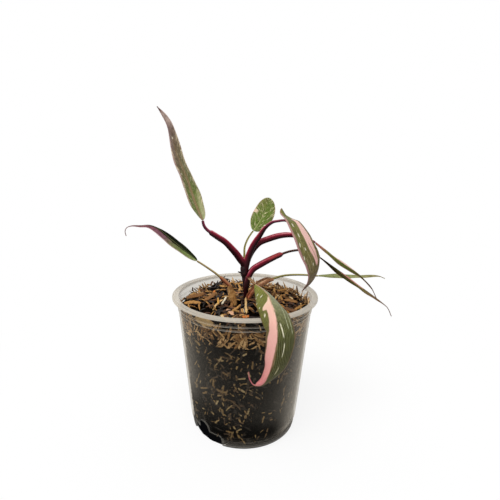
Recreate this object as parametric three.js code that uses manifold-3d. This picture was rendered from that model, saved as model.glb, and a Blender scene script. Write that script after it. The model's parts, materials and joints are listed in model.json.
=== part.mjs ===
// A young variegated philodendron in a clear nursery pot: pot, two layers of potting mix, roots, stem,
// eight leaves, each a stalk and a blade, and two dried sheaths. Millimetres, +Z up, with the origin in
// the middle of the pot's underside and -Y the side that faces the viewer.

import * as THREE from 'three';
import { mergeVertices } from 'three/addons/utils/BufferGeometryUtils.js';
import Module from 'manifold-3d';

const wasm = await Module();
wasm.setup();

// Driving dimensions of the pot
const POT_HEIGHT = 116;
const POT_TOP_RADIUS = 60;
const POT_FOOT_RADIUS = 42.7;
const POT_BODY_RADIUS = 44.9;
const POT_TAPER = 0.0964;
const POT_WALL = 1.3;
const POT_FLOOR = 1.5;
const POT_SEGMENTS = 48;
const RIM_THICKNESS = 2;
const FOOT_STEP_HEIGHT = 10.4;
const FOOT_BEVEL = { out: 1.2, rise: 1.4 };
const STEP_SOFTNESS = 0.6;
const STACKING_RING_HEIGHTS = [105.6, 108.7];
const STACKING_RING = { relief: 0.5, halfFoot: 0.7, halfCrest: 0.3 };

// Drainage slots: a tall arch over a low wide mouth that opens at the foot
const SLOT_ANGLES = [-135, 45];
const ARCH_WIDTH = 12.5;
const ARCH_HEIGHT = 18;
const MOUTH_WIDTH = 34;
const MOUTH_HEIGHT = 9.5;
const MOUTH_CORNER = 3;

// Layers of potting mix, and the gaps that touching pieces keep: the wall's is wider, for its flats
const GAP = 0.3;
const WALL_GAP = 0.45;
const MIX_TOP = 90;
const MULCH_LEVEL = 108;
const MULCH_SEGMENTS = 36;
const MULCH_RINGS = [0.88, 0.72, 0.54, 0.36, 0.18];
const MULCH_LUMPS = 1.1;
const CENTRE_MOUND = { x: 0, y: 0, rise: 3.5, spread: 26 };
const BACK_MOUND = { x: -22, y: 42, rise: 5.5, spread: 15 };
const CHIP_COUNT = 60;
const CHIP_LENGTH = [7, 14];
const CHIP_WIDTH = [1.6, 3.2];
const CHIP_THICKNESS = 1;
const CHIP_LIFT = 0.35;
const CHIP_ROLL = [-40, 40];
const CHIP_PITCH = [-22, 22];
const CHIP_BEARING = [0, 360];
const GOLDEN_ANGLE = 137.5;
const MULCH_SEED = 11;

// Plant
const STEM_FOOT = 92;
const BLADE_THICKNESS = 0.7;
const RIB_RELIEF = 0.6;
const SHEATH_THICKNESS = 0.7;
const BLADE_ROWS = 16;
const BLADE_COLUMNS = 3;
const LEAST_HALF_WIDTH = 0.8;
const LOBE_FADE = 0.12;
const SHEATH_ROWS = 8;

// Stalk steps: along the winged channel, along the neck past it, and along a stalk with no channel
const CHANNEL_STEPS = 9;
const NECK_STEPS = 5;
const PLAIN_STEPS = 11;
const NECK_STEP = 0.012;

// Colours and finishes
const CLEAR_PLASTIC = { color: 0xc9cac6, roughness: 0.3 };
const DARK_MIX = { color: 0x2a2622, roughness: 0.95 };
const HUSK = { color: 0x9a7544, roughness: 0.9 };
const STEM_SKIN = { color: 0x2c1216, roughness: 0.55 };
const ROOT_SKIN = { color: 0xc9b48c, roughness: 0.8 };
const BURGUNDY = { color: 0x6a1a2c, roughness: 0.45 };
const PALE_STALK = { color: 0xa39a5c, roughness: 0.55 };
const GREEN_BLADE = { color: 0x6f7d45, roughness: 0.5 };
const DRIED_SKIN = { color: 0x9c5a34, roughness: 0.85 };

// Each leaf: the stalk's route with its thickness from foot to blade, then the blade's rib route, the way
// its upper face looks along the rib, its half width, the shape of its outline and how its halves fold.
// A fold is the angle that a half rises over the flat at the rib, and a curl is what the angle gains from
// there to the margin, both in degrees.
const LEAVES = [
  {
    name: 'tall',
    stalk: {
      route: [[-1.5, 0, 141], [-4, -1, 144.6], [-7, -3, 149.2], [-11, -7, 155], [-16, -10, 161],
        [-21, -13, 165], [-25.5, -15, 168.4], [-29.8, -16, 171.6], [-32.1, -17, 175], [-33, -17, 178.7]],
      facing: [0.5, 0.1, 0.85],
      thickness: [[0, 6], [0.4, 5.2], [0.78, 4.2], [0.8, 2.6], [1, 2.1]],
      sheathEnd: 0.79,
      skin: BURGUNDY,
    },
    blade: {
      rib: [[-33, -17, 179], [-38, -18, 192], [-44, -20, 212], [-51, -20, 229], [-54, -20, 241],
        [-57.5, -20, 251], [-64, -20, 260]],
      facing: [[0, [0.7, 0.65, 0.3]], [0.5, [0.78, 0.55, 0.3]], [1, [0.73, 0.6, 0.3]]],
      halfWidth: 12,
      outline: [0.55, 1],
      fold: [[0, 6, 6], [0.45, -12, -2], [1, 8, 8]],
      curl: 4,
    },
  },
  {
    name: 'low_left',
    stalk: {
      route: [[-7, -3, 98], [-9, -4, 110], [-11, -5, 118], [-13.5, -5, 124], [-19, -4, 129],
        [-24, -3, 133], [-32, -1, 138], [-39.8, 0, 142.8]],
      facing: [0.5, 0, 0.85],
      thickness: [[0, 3.4], [0.6, 2.8], [0.62, 1.8], [1, 1.5]],
      sheathEnd: 0.61,
      skin: PALE_STALK,
    },
    blade: {
      rib: [[-40, 0, 143], [-46, 1, 148], [-56, 2, 156], [-64, 3, 162.5], [-71, 4, 168], [-79, 5, 171],
        [-86, 6, 170.5], [-94, 7, 170], [-98.5, 8, 168], [-100, 8.5, 165], [-99.5, 9, 161]],
      facing: [[0, [0.63, 0, 0.78]], [0.4, [0.6, -0.1, 0.8]], [0.65, [0.15, -0.22, 0.96]],
        [1, [-1, 0, 0.1]]],
      halfWidth: 11,
      outline: [0.55, 2.2],
      fold: [[0, 2, 2], [0.4, -4, -4], [0.65, -18, -18], [1, -20, -20]],
      curl: -4,
    },
  },
  {
    name: 'small',
    stalk: {
      route: [[-1.2, 3.9, 138.6], [-1.3, 5, 142.5], [-1.2, 6.6, 147.5], [-1, 8, 153], [1, 9, 159],
        [4, 10, 164], [5.9, 10, 166.6]],
      facing: [0, -1, 0.4],
      thickness: [[0, 2.4], [0.3, 1.9], [1, 1.4]],
      skin: PALE_STALK,
    },
    blade: {
      rib: [[6, 10, 167], [10, 10, 173], [15, 11, 182], [18.5, 13, 194]],
      facing: [[0, [-0.3, -1, 0.3]], [1, [-0.3, -1, 0.4]]],
      halfWidth: 9,
      outline: [0.5, 0.5],
      fold: [[0, 8, 8], [1, 8, 8]],
      curl: -14,
    },
  },
  {
    name: 'hanging',
    stalk: {
      route: [[0.8, -1, 141], [3, -2, 150], [6.5, -3.5, 158.5], [11, -6, 166], [15, -10, 173],
        [20, -15, 178], [24, -20, 179.8], [27.7, -23.9, 180.9], [30.2, -26.6, 180.9]],
      facing: [-0.6, 0.3, 0.75],
      thickness: [[0, 5], [0.4, 4.2], [0.6, 3], [0.8, 2.1], [1, 1.8]],
      sheathEnd: 0.62,
      skin: BURGUNDY,
    },
    blade: {
      rib: [[31, -27, 182], [35, -32, 180], [40, -36, 173], [44.5, -38.5, 164], [48.5, -39, 154],
        [49.5, -38, 146], [47, -37, 137], [42, -36, 130]],
      facing: [[0, [0.42, -0.25, 0.85]], [0.25, [0.67, -0.45, 0.59]], [0.5, [0.76, -0.56, 0.33]],
        [0.62, [0.81, -0.58, 0.09]], [1, [0.7, -0.57, -0.45]]],
      halfWidth: 13,
      outline: [0.55, 1],
      fold: [[0, -6, -6], [0.3, -2, -2], [1, 4, 4]],
      curl: -6,
      lobes: [{ back: 6, out: 0, rise: 0 }, { back: 11, out: -1.2, rise: 5 }],
    },
  },
  {
    name: 'upper_right',
    stalk: {
      route: [[1, 1.4, 141], [2.6, 1, 146.6], [5.8, 0.5, 152.8], [11, -0.5, 158.9], [18, -1.5, 162.3],
        [27, -2, 165.2], [35, -3, 166.2], [43, -3, 165.2], [49.7, -4, 163.3], [55.3, -4, 160.6]],
      facing: [-0.5, 0, 0.85],
      thickness: [[0, 4.8], [0.5, 4.8], [0.78, 3.6], [0.8, 2.2], [1, 1.9]],
      sheathEnd: 0.79,
      skin: BURGUNDY,
    },
    blade: {
      rib: [[55.6, -4, 160.4], [65.4, -5, 152.7], [74, -6, 146.3], [82, -7, 141], [89.4, -8, 136.4],
        [95.8, -9, 131.2], [101.7, -10, 125.2], [106.5, -10, 116.6]],
      facing: [[0, [0.65, -0.05, 0.75]], [0.6, [0.65, -0.05, 0.75]], [1, [0.85, -0.15, 0.5]]],
      halfWidth: 12,
      outline: [0.6, 1.3],
      fold: [[0, 2, 0], [1, 2, 0]],
      curl: -4,
    },
  },
  {
    name: 'lower_right',
    stalk: {
      route: [[0.8, -3.2, 123], [2.2, -2.8, 130], [6, -1.5, 136.6], [13, 0, 141], [21, 2, 145],
        [28, 4, 147.9], [36, 6, 150.4], [43.3, 7, 151.5], [50.3, 8, 151.5], [56.3, 9, 149.5],
        [62.2, 10, 145.7]],
      facing: [-0.5, 0, 0.85],
      thickness: [[0, 4.8], [0.3, 5], [0.54, 4.2], [0.56, 2], [1, 1.7]],
      sheathEnd: 0.55,
      skin: BURGUNDY,
    },
    blade: {
      rib: [[62.4, 10, 145.3], [70.4, 11, 139.6], [79.5, 12, 133.2], [89.5, 13, 126.2],
        [99.6, 14, 118.6], [110, 15, 111.2], [120.4, 16, 103.4], [126.5, 16, 98], [130.6, 16, 90.2]],
      facing: [[0, [0.62, -0.1, 0.78]], [0.7, [0.58, -0.1, 0.8]], [1, [0.85, -0.2, 0.5]]],
      halfWidth: 12,
      outline: [0.6, 1.5],
      fold: [[0, -12, 0], [1, -12, 0]],
      curl: -6,
    },
  },
  {
    name: 'level',
    stalk: {
      route: [[0.6, -4.4, 101], [1, -4.3, 110], [1.8, -4, 115.5], [5, -3, 119], [10, 0, 122.5],
        [17.2, 6, 124.6], [24.5, 12, 125.2], [30.9, 17, 125.7], [37.3, 21, 125.6], [45.9, 25, 124.9],
        [55.6, 29, 123.6], [65.9, 33, 121.8]],
      facing: [-0.3, 0, 1],
      thickness: [[0, 2.2], [0.3, 2], [1, 1.6]],
      skin: PALE_STALK,
    },
    blade: {
      rib: [[66.4, 33, 121.7], [78, 34, 121.7], [89.6, 35, 121], [102.2, 36, 120.7], [113.8, 37, 121],
        [124.3, 38, 120.6], [129.6, 38, 118.6]],
      facing: [[0, [0, -0.05, 1]], [1, [0.1, -0.05, 1]]],
      halfWidth: 5.2,
      outline: [0.5, 1],
      fold: [[0, 6, 6], [1, 6, 6]],
      curl: -10,
    },
  },
  {
    name: 'front',
    stalk: {
      route: [[1, -3.4, 131], [5, -9, 129.4], [7.9, -13.7, 128.1]],
      facing: [0, -0.2, 1],
      thickness: [[0, 2.4], [1, 1.8]],
      skin: PALE_STALK,
    },
    blade: {
      rib: [[8.1, -14, 128], [12.9, -26, 128.2], [17.1, -47, 129.1], [18.4, -65, 127.2],
        [19.5, -74, 123], [21.2, -78, 116], [21.5, -78.5, 109], [20.5, -78, 98], [18.5, -76.5, 89.4],
        [14.8, -75, 82], [10.8, -74.3, 76.8], [6.9, -75, 76.3], [3.9, -76, 81], [2.9, -77, 87]],
      facing: [[0, [0, 0, 1]], [0.25, [-0.08, -0.05, 1]], [0.4, [-0.3, -0.35, 0.89]],
        [0.5, [-0.28, -0.77, 0.57]], [0.6, [-0.36, -0.92, 0.14]], [0.8, [-0.42, -0.9, 0.1]],
        [1, [0, -1, -0.1]]],
      halfWidth: 14.5,
      outline: [0.6, 0.6, 0.9],
      fold: [[0, -24, -24], [0.4, -30, -27], [0.5, -30, -34], [0.6, -30, -14], [0.76, -29, -12],
        [0.86, -27, -44], [0.92, -24, -64], [1, -20, -30]],
      curl: -38,
      rows: 26,
    },
  },
];

// The dried sheaths: a strip about a rib route, open on the side that it faces
const SHEATHS = [
  {
    name: 'sheath_left',
    rib: [[-13.2, -7.6, 124], [-11.4, -8, 117.5], [-9.4, -8.4, 110.5], [-8.4, -8.6, 107.5]],
    facing: [[0, [-0.1, 1, 0.3]], [1, [0, 1, 0.2]]],
    halfWidth: 3.4,
    outline: [0.35, 0.25],
    fold: [[0, 10, 10], [1, 10, 10]],
    curl: 40,
    rows: SHEATH_ROWS,
  },
  {
    name: 'sheath_right',
    rib: [[3, -6.2, 112.6], [7.5, -3.6, 117.4], [12.5, 1, 120.5], [18.5, 6.4, 122.4], [24, 11, 123.7]],
    facing: [[0, [-0.5, 0, 0.85]], [1, [-0.1, 0, 1]]],
    halfWidth: 6.2,
    outline: [0.5, 0.35],
    fold: [[0, 25, 25], [1, 20, 20]],
    curl: 70,
    rows: SHEATH_ROWS,
  },
];

// The stem, and the short dead stub that stands out of its left side under the crown
const STEM = {
  route: [[0, 0, STEM_FOOT], [0, 0, 112], [0.2, 0, 119], [-0.3, 0, 127], [-1.2, 0, 134], [-1.4, 0, 140.5]],
  thickness: [[0, 4.4], [0.38, 3.4], [0.5, 3.6], [0.58, 4.6], [0.66, 4.2], [0.8, 5.4], [0.88, 6.2],
    [1, 5]],
  sides: 10,
  steps: 12,
};
const STUB = {
  route: [[-1, 0, 132.2], [-3.6, -0.3, 133.4], [-6.2, -0.6, 134.2]],
  thickness: [[0, 2], [1, 0.9]],
  sides: 6,
  steps: 2,
};

// The small crown under the stem's foot that the roots leave
const ROOT_TOP = STEM_FOOT - GAP;
const ROOT_CROWN = {
  route: [[0, 0, ROOT_TOP], [0, 0, ROOT_TOP - 3], [0, 0, ROOT_TOP - 7]],
  thickness: [[0, 4.2], [1, 3]],
  sides: 8,
  steps: 2,
};

// Roots: the way each sets off, and how far it reaches out and down from the crown
const ROOTS = [
  { angle: 20, reach: 31, depth: 62 },
  { angle: 95, reach: 26, depth: 48 },
  { angle: 150, reach: 34, depth: 70 },
  { angle: 215, reach: 22, depth: 78 },
  { angle: 275, reach: 33, depth: 55 },
  { angle: 325, reach: 18, depth: 72 },
];
const ROOT_THICKNESS = [[0, 2.2], [1, 1]];
const ROOT_START_DEPTH = 4;

// A root's course past its start: shares of its reach and its depth, and how many degrees it sways
const ROOT_COURSE = [
  { out: 0.35, down: 0.1, sway: 0 },
  { out: 0.75, down: 0.4, sway: 14 },
  { out: 0.9, down: 0.75, sway: -6 },
  { out: 1, down: 1, sway: 10 },
];

function vector([x, y, z]) {
  return new THREE.Vector3(x, y, z);
}

function radians(degrees) {
  return THREE.MathUtils.degToRad(degrees);
}

// Repeatable draws between 0 and 1
function seededDraws(seed) {
  let state = seed;
  return () => {
    state = (state * 1664525 + 1013904223) % 4294967296;
    return state / 4294967296;
  };
}

// The value at a place along a list of [place, ...values], straight between its entries
function keyed(keys, place) {
  const next = keys.findIndex((key) => key[0] >= place);
  if (next === 0) return keys[0].slice(1);
  if (next < 0) return keys.at(-1).slice(1);
  const before = keys[next - 1];
  const after = keys[next];
  const share = (place - before[0]) / (after[0] - before[0]);
  return before.slice(1).map((value, k) => THREE.MathUtils.lerp(value, after[k + 1], share));
}

function geometryOf(points, triangles) {
  const geometry = new THREE.BufferGeometry();
  const places = points.flatMap((p) => [p.x, p.y, p.z]);
  geometry.setAttribute('position', new THREE.Float32BufferAttribute(places, 3));
  geometry.setIndex(triangles.flat());
  return geometry;
}

// A turned body from a half outline of [radius, height]
function turned(outline, segments) {
  const lathe = new THREE.LatheGeometry(outline.map(([r, z]) => new THREE.Vector2(r, z)), segments);
  lathe.rotateX(Math.PI / 2);
  return lathe;
}

// The geometry as corners shared by its faces, with nothing but their places
function merged(geometry) {
  const bare = geometry.clone();
  bare.deleteAttribute('normal');
  bare.deleteAttribute('uv');
  return mergeVertices(bare, 1e-4);
}

function solidOf(geometry) {
  const { attributes, index } = merged(geometry);
  return new wasm.Manifold(new wasm.Mesh({
    numProp: 3,
    vertProperties: new Float32Array(attributes.position.array),
    triVerts: new Uint32Array(index.array),
  }));
}

function geometryOfSolid(solid) {
  const mesh = solid.getMesh();
  const geometry = new THREE.BufferGeometry();
  geometry.setAttribute('position', new THREE.BufferAttribute(new Float32Array(mesh.vertProperties), 3));
  geometry.setIndex(new THREE.BufferAttribute(new Uint32Array(mesh.triVerts), 1));
  return geometry;
}

function largestBody(solid) {
  const bodies = solid.decompose();
  return bodies.reduce((best, body) => (body.volume() > best.volume() ? body : best));
}

// The geometry without what the cutters take from it, with loose scraps dropped
function cutBy(geometry, cutters) {
  let solid = solidOf(geometry);
  for (const cutter of cutters) solid = solid.subtract(solidOf(cutter));
  return geometryOfSolid(largestBody(solid));
}

// A frame at each place along a route: the point, the way along, the face and the way across
function framesAlong(route, facingAt, places) {
  const curve = new THREE.CatmullRomCurve3(route.map(vector));
  return places.map((place) => {
    const along = curve.getTangentAt(place);
    const face = facingAt(place);
    face.addScaledVector(along, -face.dot(along)).normalize();
    const across = new THREE.Vector3().crossVectors(along, face);
    return { point: curve.getPointAt(place), along, face, across };
  });
}

function evenPlaces(from, to, count) {
  return Array.from({ length: count + 1 }, (_, k) => THREE.MathUtils.lerp(from, to, k / count));
}

// A closed body through rings with the same number of points, flat at both ends
function loft(rings, section) {
  const count = section.length;
  const triangles = [];
  for (let ring = 0; ring < rings.length - 1; ring += 1) {
    for (let k = 0; k < count; k += 1) {
      const a = ring * count + k;
      const b = ring * count + ((k + 1) % count);
      triangles.push([a, b, b + count], [a, b + count, a + count]);
    }
  }
  const cap = THREE.ShapeUtils.triangulateShape(section, []);
  const last = (rings.length - 1) * count;
  for (const [a, b, c] of cap) {
    triangles.push([c, b, a], [last + a, last + b, last + c]);
  }
  return geometryOf(rings.flat(), triangles);
}

// Stalk sections in shares of the thickness: a winged channel, and a plain round with as many points
const CHANNEL_SECTION = [[-0.4, 0.45], [-0.48, 0], [-0.38, -0.33], [-0.2, -0.48], [0, -0.52],
  [0.2, -0.48], [0.38, -0.33], [0.48, 0], [0.4, 0.45], [0.24, 0.14], [0, 0.02], [-0.24, 0.14]];
const FILLED_SECTION = CHANNEL_SECTION.map(([x, y], k) => (k > 8 ? [x, 0.46] : [x, y]));
const ROUND_ANGLES = [140, 180, 207, 240, 270, 300, 333, 0, 40, 65, 90, 115];
const ROUND_SECTION = ROUND_ANGLES.map((angle) => [
  Math.cos(radians(angle)) / 2,
  Math.sin(radians(angle)) / 2,
]);

// A stalk along its route, with a channel as far as sheathEnd and round past it. Spare makes it that
// much larger all round with its channel filled, which is the hole that it stands in.
function stalkGeometry({ route, facing, thickness, sheathEnd }, spare = 0) {
  const places = sheathEnd
    ? [...evenPlaces(0, sheathEnd, CHANNEL_STEPS), ...evenPlaces(sheathEnd + NECK_STEP, 1, NECK_STEPS)]
    : evenPlaces(0, 1, PLAIN_STEPS);
  const frames = framesAlong(route, () => vector(facing), places);
  const rings = frames.map(({ point, along, face, across }, k) => {
    const winged = spare > 0 ? FILLED_SECTION : CHANNEL_SECTION;
    const section = sheathEnd && places[k] <= sheathEnd ? winged : ROUND_SECTION;
    const size = keyed(thickness, places[k])[0] + 2 * spare;
    const end = k === 0 ? -spare : (k === frames.length - 1 ? spare : 0);
    return section.map(([x, y]) => point.clone()
      .addScaledVector(across, -x * size)
      .addScaledVector(face, y * size)
      .addScaledVector(along, end));
  });
  return loft(rings, CHANNEL_SECTION.map(([x, y]) => new THREE.Vector2(x, y)));
}

// A round tapering body, for the stem and the roots
function tubeGeometry({ route, thickness, sides, steps }, spare = 0) {
  const places = evenPlaces(0, 1, steps);
  const curve = new THREE.CatmullRomCurve3(route.map(vector));
  const { normals, binormals } = curve.computeFrenetFrames(steps);
  const section = Array.from({ length: sides }, (_, k) => {
    const angle = (2 * Math.PI * k) / sides;
    return new THREE.Vector2(Math.cos(angle), Math.sin(angle));
  });
  const rings = places.map((place, k) => {
    const radius = keyed(thickness, place)[0] / 2 + spare;
    const end = k === 0 ? -spare : (k === steps ? spare : 0);
    return section.map(({ x, y }) => curve.getPointAt(place)
      .addScaledVector(normals[k], x * radius)
      .addScaledVector(binormals[k], y * radius)
      .addScaledVector(curve.getTangentAt(place), end));
  });
  return loft(rings, section);
}

// A thin closed sheet about a grid of points, with both faces split into the same triangles
function sheetGeometry(rows, thickness, ribRelief, spare = 0) {
  const height = rows.length;
  const width = rows[0].length;
  const middle = (width - 1) / 2;
  const at = (row, column) => rows[THREE.MathUtils.clamp(row, 0, height - 1)][
    THREE.MathUtils.clamp(column, 0, width - 1)];
  const upper = [];
  const lower = [];
  for (let row = 0; row < height; row += 1) {
    for (let column = 0; column < width; column += 1) {
      const along = at(row + 1, column).clone().sub(at(row - 1, column));
      const across = at(row, column + 1).clone().sub(at(row, column - 1));
      const up = new THREE.Vector3().crossVectors(across, along).normalize();
      const relief = column === middle ? ribRelief : 0;
      const endward = (row === height - 1) - (row === 0);
      const sideward = (column === width - 1) - (column === 0);
      const spot = at(row, column).clone()
        .addScaledVector(along.normalize(), endward * spare)
        .addScaledVector(across.normalize(), sideward * spare);
      upper.push(spot.clone().addScaledVector(up, thickness / 2 + spare));
      lower.push(spot.addScaledVector(up, -thickness / 2 - relief - spare));
    }
  }
  const under = height * width;
  const triangles = [];
  for (let row = 0; row < height - 1; row += 1) {
    for (let column = 0; column < width - 1; column += 1) {
      const a = row * width + column;
      const [b, c, d] = [a + 1, a + width + 1, a + width];
      const halves = column < middle ? [[a, b, c], [a, c, d]] : [[a, b, d], [b, c, d]];
      for (const [p, q, r] of halves) {
        triangles.push([p, q, r], [under + r, under + q, under + p]);
      }
    }
  }
  const border = [];
  for (let column = 0; column < width - 1; column += 1) border.push(column);
  for (let row = 0; row < height - 1; row += 1) border.push(row * width + width - 1);
  for (let column = width - 1; column > 0; column -= 1) border.push((height - 1) * width + column);
  for (let row = height - 1; row > 0; row -= 1) border.push(row * width);
  border.forEach((a, k) => {
    const b = border[(k + 1) % border.length];
    triangles.push([b, a, under + a], [b, under + a, under + b]);
  });
  return geometryOf([...upper, ...lower], triangles);
}

// The share of the half width at a place along the rib, for an outline s^base * (1 - s)^tip that ends
// where the drawn-out point of the blade begins
function outlineShare(place, [base, tip, pointStart = 1]) {
  const widest = base / (base + tip);
  const peak = widest ** base * (1 - widest) ** tip;
  const s = Math.min(place / pointStart, 1);
  return (s ** base * (1 - s) ** tip) / peak;
}

// Rows of points across a blade, each half an arc that leaves the rib at the fold angle
function bladeRows(blade) {
  const places = evenPlaces(0, 1, blade.rows ?? BLADE_ROWS);
  const facingKeys = blade.facing.map(([place, way]) => [place, ...way]);
  const frames = framesAlong(blade.rib, (place) => vector(keyed(facingKeys, place)), places);
  return frames.map(({ point, along, face, across }, k) => {
    const place = places[k];
    const half = Math.max(blade.halfWidth * outlineShare(place, blade.outline), LEAST_HALF_WIDTH);
    const folds = keyed(blade.fold, place).map(radians);
    const curl = radians(blade.curl);
    const row = [];
    for (let column = -BLADE_COLUMNS; column <= BLADE_COLUMNS; column += 1) {
      const side = Math.sign(column);
      const share = Math.abs(column) / BLADE_COLUMNS;
      const fold = folds[side < 0 ? 0 : 1];
      const turn = fold + curl * share;
      const out = (half * (Math.sin(turn) - Math.sin(fold))) / curl;
      const up = (half * (Math.cos(fold) - Math.cos(turn))) / curl;
      const p = point.clone().addScaledVector(across, side * out).addScaledVector(face, up);
      if (blade.lobes) {
        const lobe = blade.lobes[side < 0 ? 0 : 1];
        const fade = share * Math.exp(-place / LOBE_FADE);
        p.addScaledVector(along, -lobe.back * fade)
          .addScaledVector(across, side * lobe.out * fade)
          .addScaledVector(face, lobe.rise * fade);
      }
      row.push(p);
    }
    return row;
  });
}

function sheathGeometry(sheath, spare = 0) {
  return sheetGeometry(bladeRows(sheath), SHEATH_THICKNESS, 0, spare);
}

function bodyRadius(z) {
  return POT_BODY_RADIUS + POT_TAPER * z;
}

function innerRadius(z) {
  return bodyRadius(z) - POT_WALL;
}

// One drainage slot's cutter: its outline drawn across the wall, pushed through it from inside
function slotCutter(angle) {
  const reachIn = 6;
  const depth = 18;
  const below = 2;
  const mouth = MOUTH_WIDTH / 2;
  const arch = ARCH_WIDTH / 2;
  const outline = new THREE.Shape();
  outline.moveTo(-mouth, -below);
  outline.lineTo(mouth, -below);
  outline.lineTo(mouth, MOUTH_HEIGHT - MOUTH_CORNER);
  outline.quadraticCurveTo(mouth, MOUTH_HEIGHT, mouth - MOUTH_CORNER, MOUTH_HEIGHT);
  outline.lineTo(arch, MOUTH_HEIGHT);
  outline.lineTo(arch, ARCH_HEIGHT - arch);
  outline.absarc(0, ARCH_HEIGHT - arch, arch, 0, Math.PI, false);
  outline.lineTo(-arch, MOUTH_HEIGHT);
  outline.lineTo(MOUTH_CORNER - mouth, MOUTH_HEIGHT);
  outline.quadraticCurveTo(-mouth, MOUTH_HEIGHT, -mouth, MOUTH_HEIGHT - MOUTH_CORNER);
  const cutter = new THREE.ExtrudeGeometry(outline, { depth, bevelEnabled: false, curveSegments: 4 });
  cutter.rotateX(Math.PI / 2);
  cutter.rotateZ(Math.PI / 2);
  cutter.translate(POT_FOOT_RADIUS - reachIn, 0, 0);
  cutter.rotateZ(radians(angle));
  return cutter;
}

// The pot's half outline: up the outside from the foot, over the rim and down the inside to the floor
function potOutline() {
  const underRim = POT_HEIGHT - RIM_THICKNESS;
  const lip = 0.5;
  const foot = [[0, 0], [POT_FOOT_RADIUS, 0], [POT_FOOT_RADIUS + FOOT_BEVEL.out, FOOT_BEVEL.rise],
    [bodyRadius(0), FOOT_STEP_HEIGHT - STEP_SOFTNESS], [bodyRadius(FOOT_STEP_HEIGHT), FOOT_STEP_HEIGHT]];
  const rings = STACKING_RING_HEIGHTS.flatMap((z) => {
    const crest = bodyRadius(z) + STACKING_RING.relief;
    return [[bodyRadius(z), z - STACKING_RING.halfFoot], [crest, z - STACKING_RING.halfCrest],
      [crest, z + STACKING_RING.halfCrest], [bodyRadius(z), z + STACKING_RING.halfFoot]];
  });
  const rim = [[bodyRadius(underRim), underRim - lip], [POT_TOP_RADIUS - RIM_THICKNESS, underRim],
    [POT_TOP_RADIUS, underRim + lip], [POT_TOP_RADIUS, POT_HEIGHT - lip],
    [POT_TOP_RADIUS - lip, POT_HEIGHT], [innerRadius(POT_HEIGHT), POT_HEIGHT]];
  const inside = [[innerRadius(FOOT_STEP_HEIGHT), FOOT_STEP_HEIGHT + STEP_SOFTNESS],
    [innerRadius(0), FOOT_STEP_HEIGHT - STEP_SOFTNESS], [POT_FOOT_RADIUS - POT_WALL, POT_FLOOR],
    [0, POT_FLOOR]];
  return [...foot, ...rings, ...rim, ...inside];
}

function potGeometry() {
  return cutBy(turned(potOutline(), POT_SEGMENTS), SLOT_ANGLES.map(slotCutter));
}

function mixGeometry(holes) {
  const outline = [[0, POT_FLOOR + GAP], [POT_FOOT_RADIUS - POT_WALL - WALL_GAP, POT_FLOOR + GAP],
    [innerRadius(0) - WALL_GAP, FOOT_STEP_HEIGHT - STEP_SOFTNESS],
    [innerRadius(FOOT_STEP_HEIGHT) - WALL_GAP, FOOT_STEP_HEIGHT + 2 * STEP_SOFTNESS],
    [innerRadius(MIX_TOP) - WALL_GAP, MIX_TOP], [0, MIX_TOP]];
  return cutBy(turned(outline, POT_SEGMENTS), holes);
}

function moundHeight(x, y) {
  const rise = [CENTRE_MOUND, BACK_MOUND].map((mound) => {
    const distance = Math.hypot(x - mound.x, y - mound.y);
    return mound.rise * Math.exp(-((distance / mound.spread) ** 2));
  });
  return MULCH_LEVEL + rise[0] + rise[1];
}

// One sliver of husk or bark: a flat six-cornered splinter
function chipGeometry(length, width, thickness) {
  const shape = new THREE.Shape();
  shape.moveTo(-length / 2, 0);
  shape.lineTo(-length / 5, -width / 2);
  shape.lineTo(length / 3, -width / 2);
  shape.lineTo(length / 2, width / 6);
  shape.lineTo(length / 6, width / 2);
  const chip = new THREE.ExtrudeGeometry(shape, { depth: thickness, bevelEnabled: false });
  chip.translate(0, 0, -thickness / 2);
  return chip;
}

// The lumpy mound of the top layer, on a flat foot
function moundGeometry(edge, draw) {
  const foot = MIX_TOP + GAP;
  const outline = [[0, foot], [innerRadius(foot) - WALL_GAP, foot], [edge, MULCH_LEVEL],
    ...MULCH_RINGS.map((share) => [edge * share, MULCH_LEVEL]), [0, MULCH_LEVEL]];
  const mound = merged(turned(outline, MULCH_SEGMENTS));
  const place = mound.attributes.position;
  for (let k = 0; k < place.count; k += 1) {
    if (place.getZ(k) > MULCH_LEVEL - GAP) {
      const lump = MULCH_LUMPS * (draw() - 0.5);
      place.setZ(k, moundHeight(place.getX(k), place.getY(k)) + lump);
    }
  }
  return mound;
}

// The top layer: the mound with slivers lying on it, sunk half their thickness and more
function mulchGeometry(holes) {
  const draw = seededDraws(MULCH_SEED);
  const between = ([low, high]) => THREE.MathUtils.lerp(low, high, draw());
  const edge = innerRadius(MULCH_LEVEL) - WALL_GAP;
  let solid = solidOf(moundGeometry(edge, draw));
  for (let k = 0; k < CHIP_COUNT; k += 1) {
    const length = between(CHIP_LENGTH);
    const reach = (edge - length / 2 - WALL_GAP) * Math.sqrt((k + 0.5) / CHIP_COUNT);
    const bearing = radians(GOLDEN_ANGLE * k);
    const x = reach * Math.cos(bearing);
    const y = reach * Math.sin(bearing);
    const chip = chipGeometry(length, between(CHIP_WIDTH), CHIP_THICKNESS);
    chip.rotateX(radians(between(CHIP_ROLL)));
    chip.rotateY(radians(between(CHIP_PITCH)));
    chip.rotateZ(radians(between(CHIP_BEARING)));
    chip.translate(x, y, moundHeight(x, y) + CHIP_LIFT);
    solid = solid.add(solidOf(chip));
  }
  for (const hole of holes) solid = solid.subtract(solidOf(hole));
  return geometryOfSolid(largestBody(solid));
}

function rootRoute({ angle, reach, depth }) {
  const course = ROOT_COURSE.map(({ out, down, sway }) => {
    const bearing = radians(angle + sway);
    return [reach * out * Math.cos(bearing), reach * out * Math.sin(bearing), ROOT_TOP - depth * down];
  });
  return [[0, 0, ROOT_TOP - ROOT_START_DEPTH], ...course];
}

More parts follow.
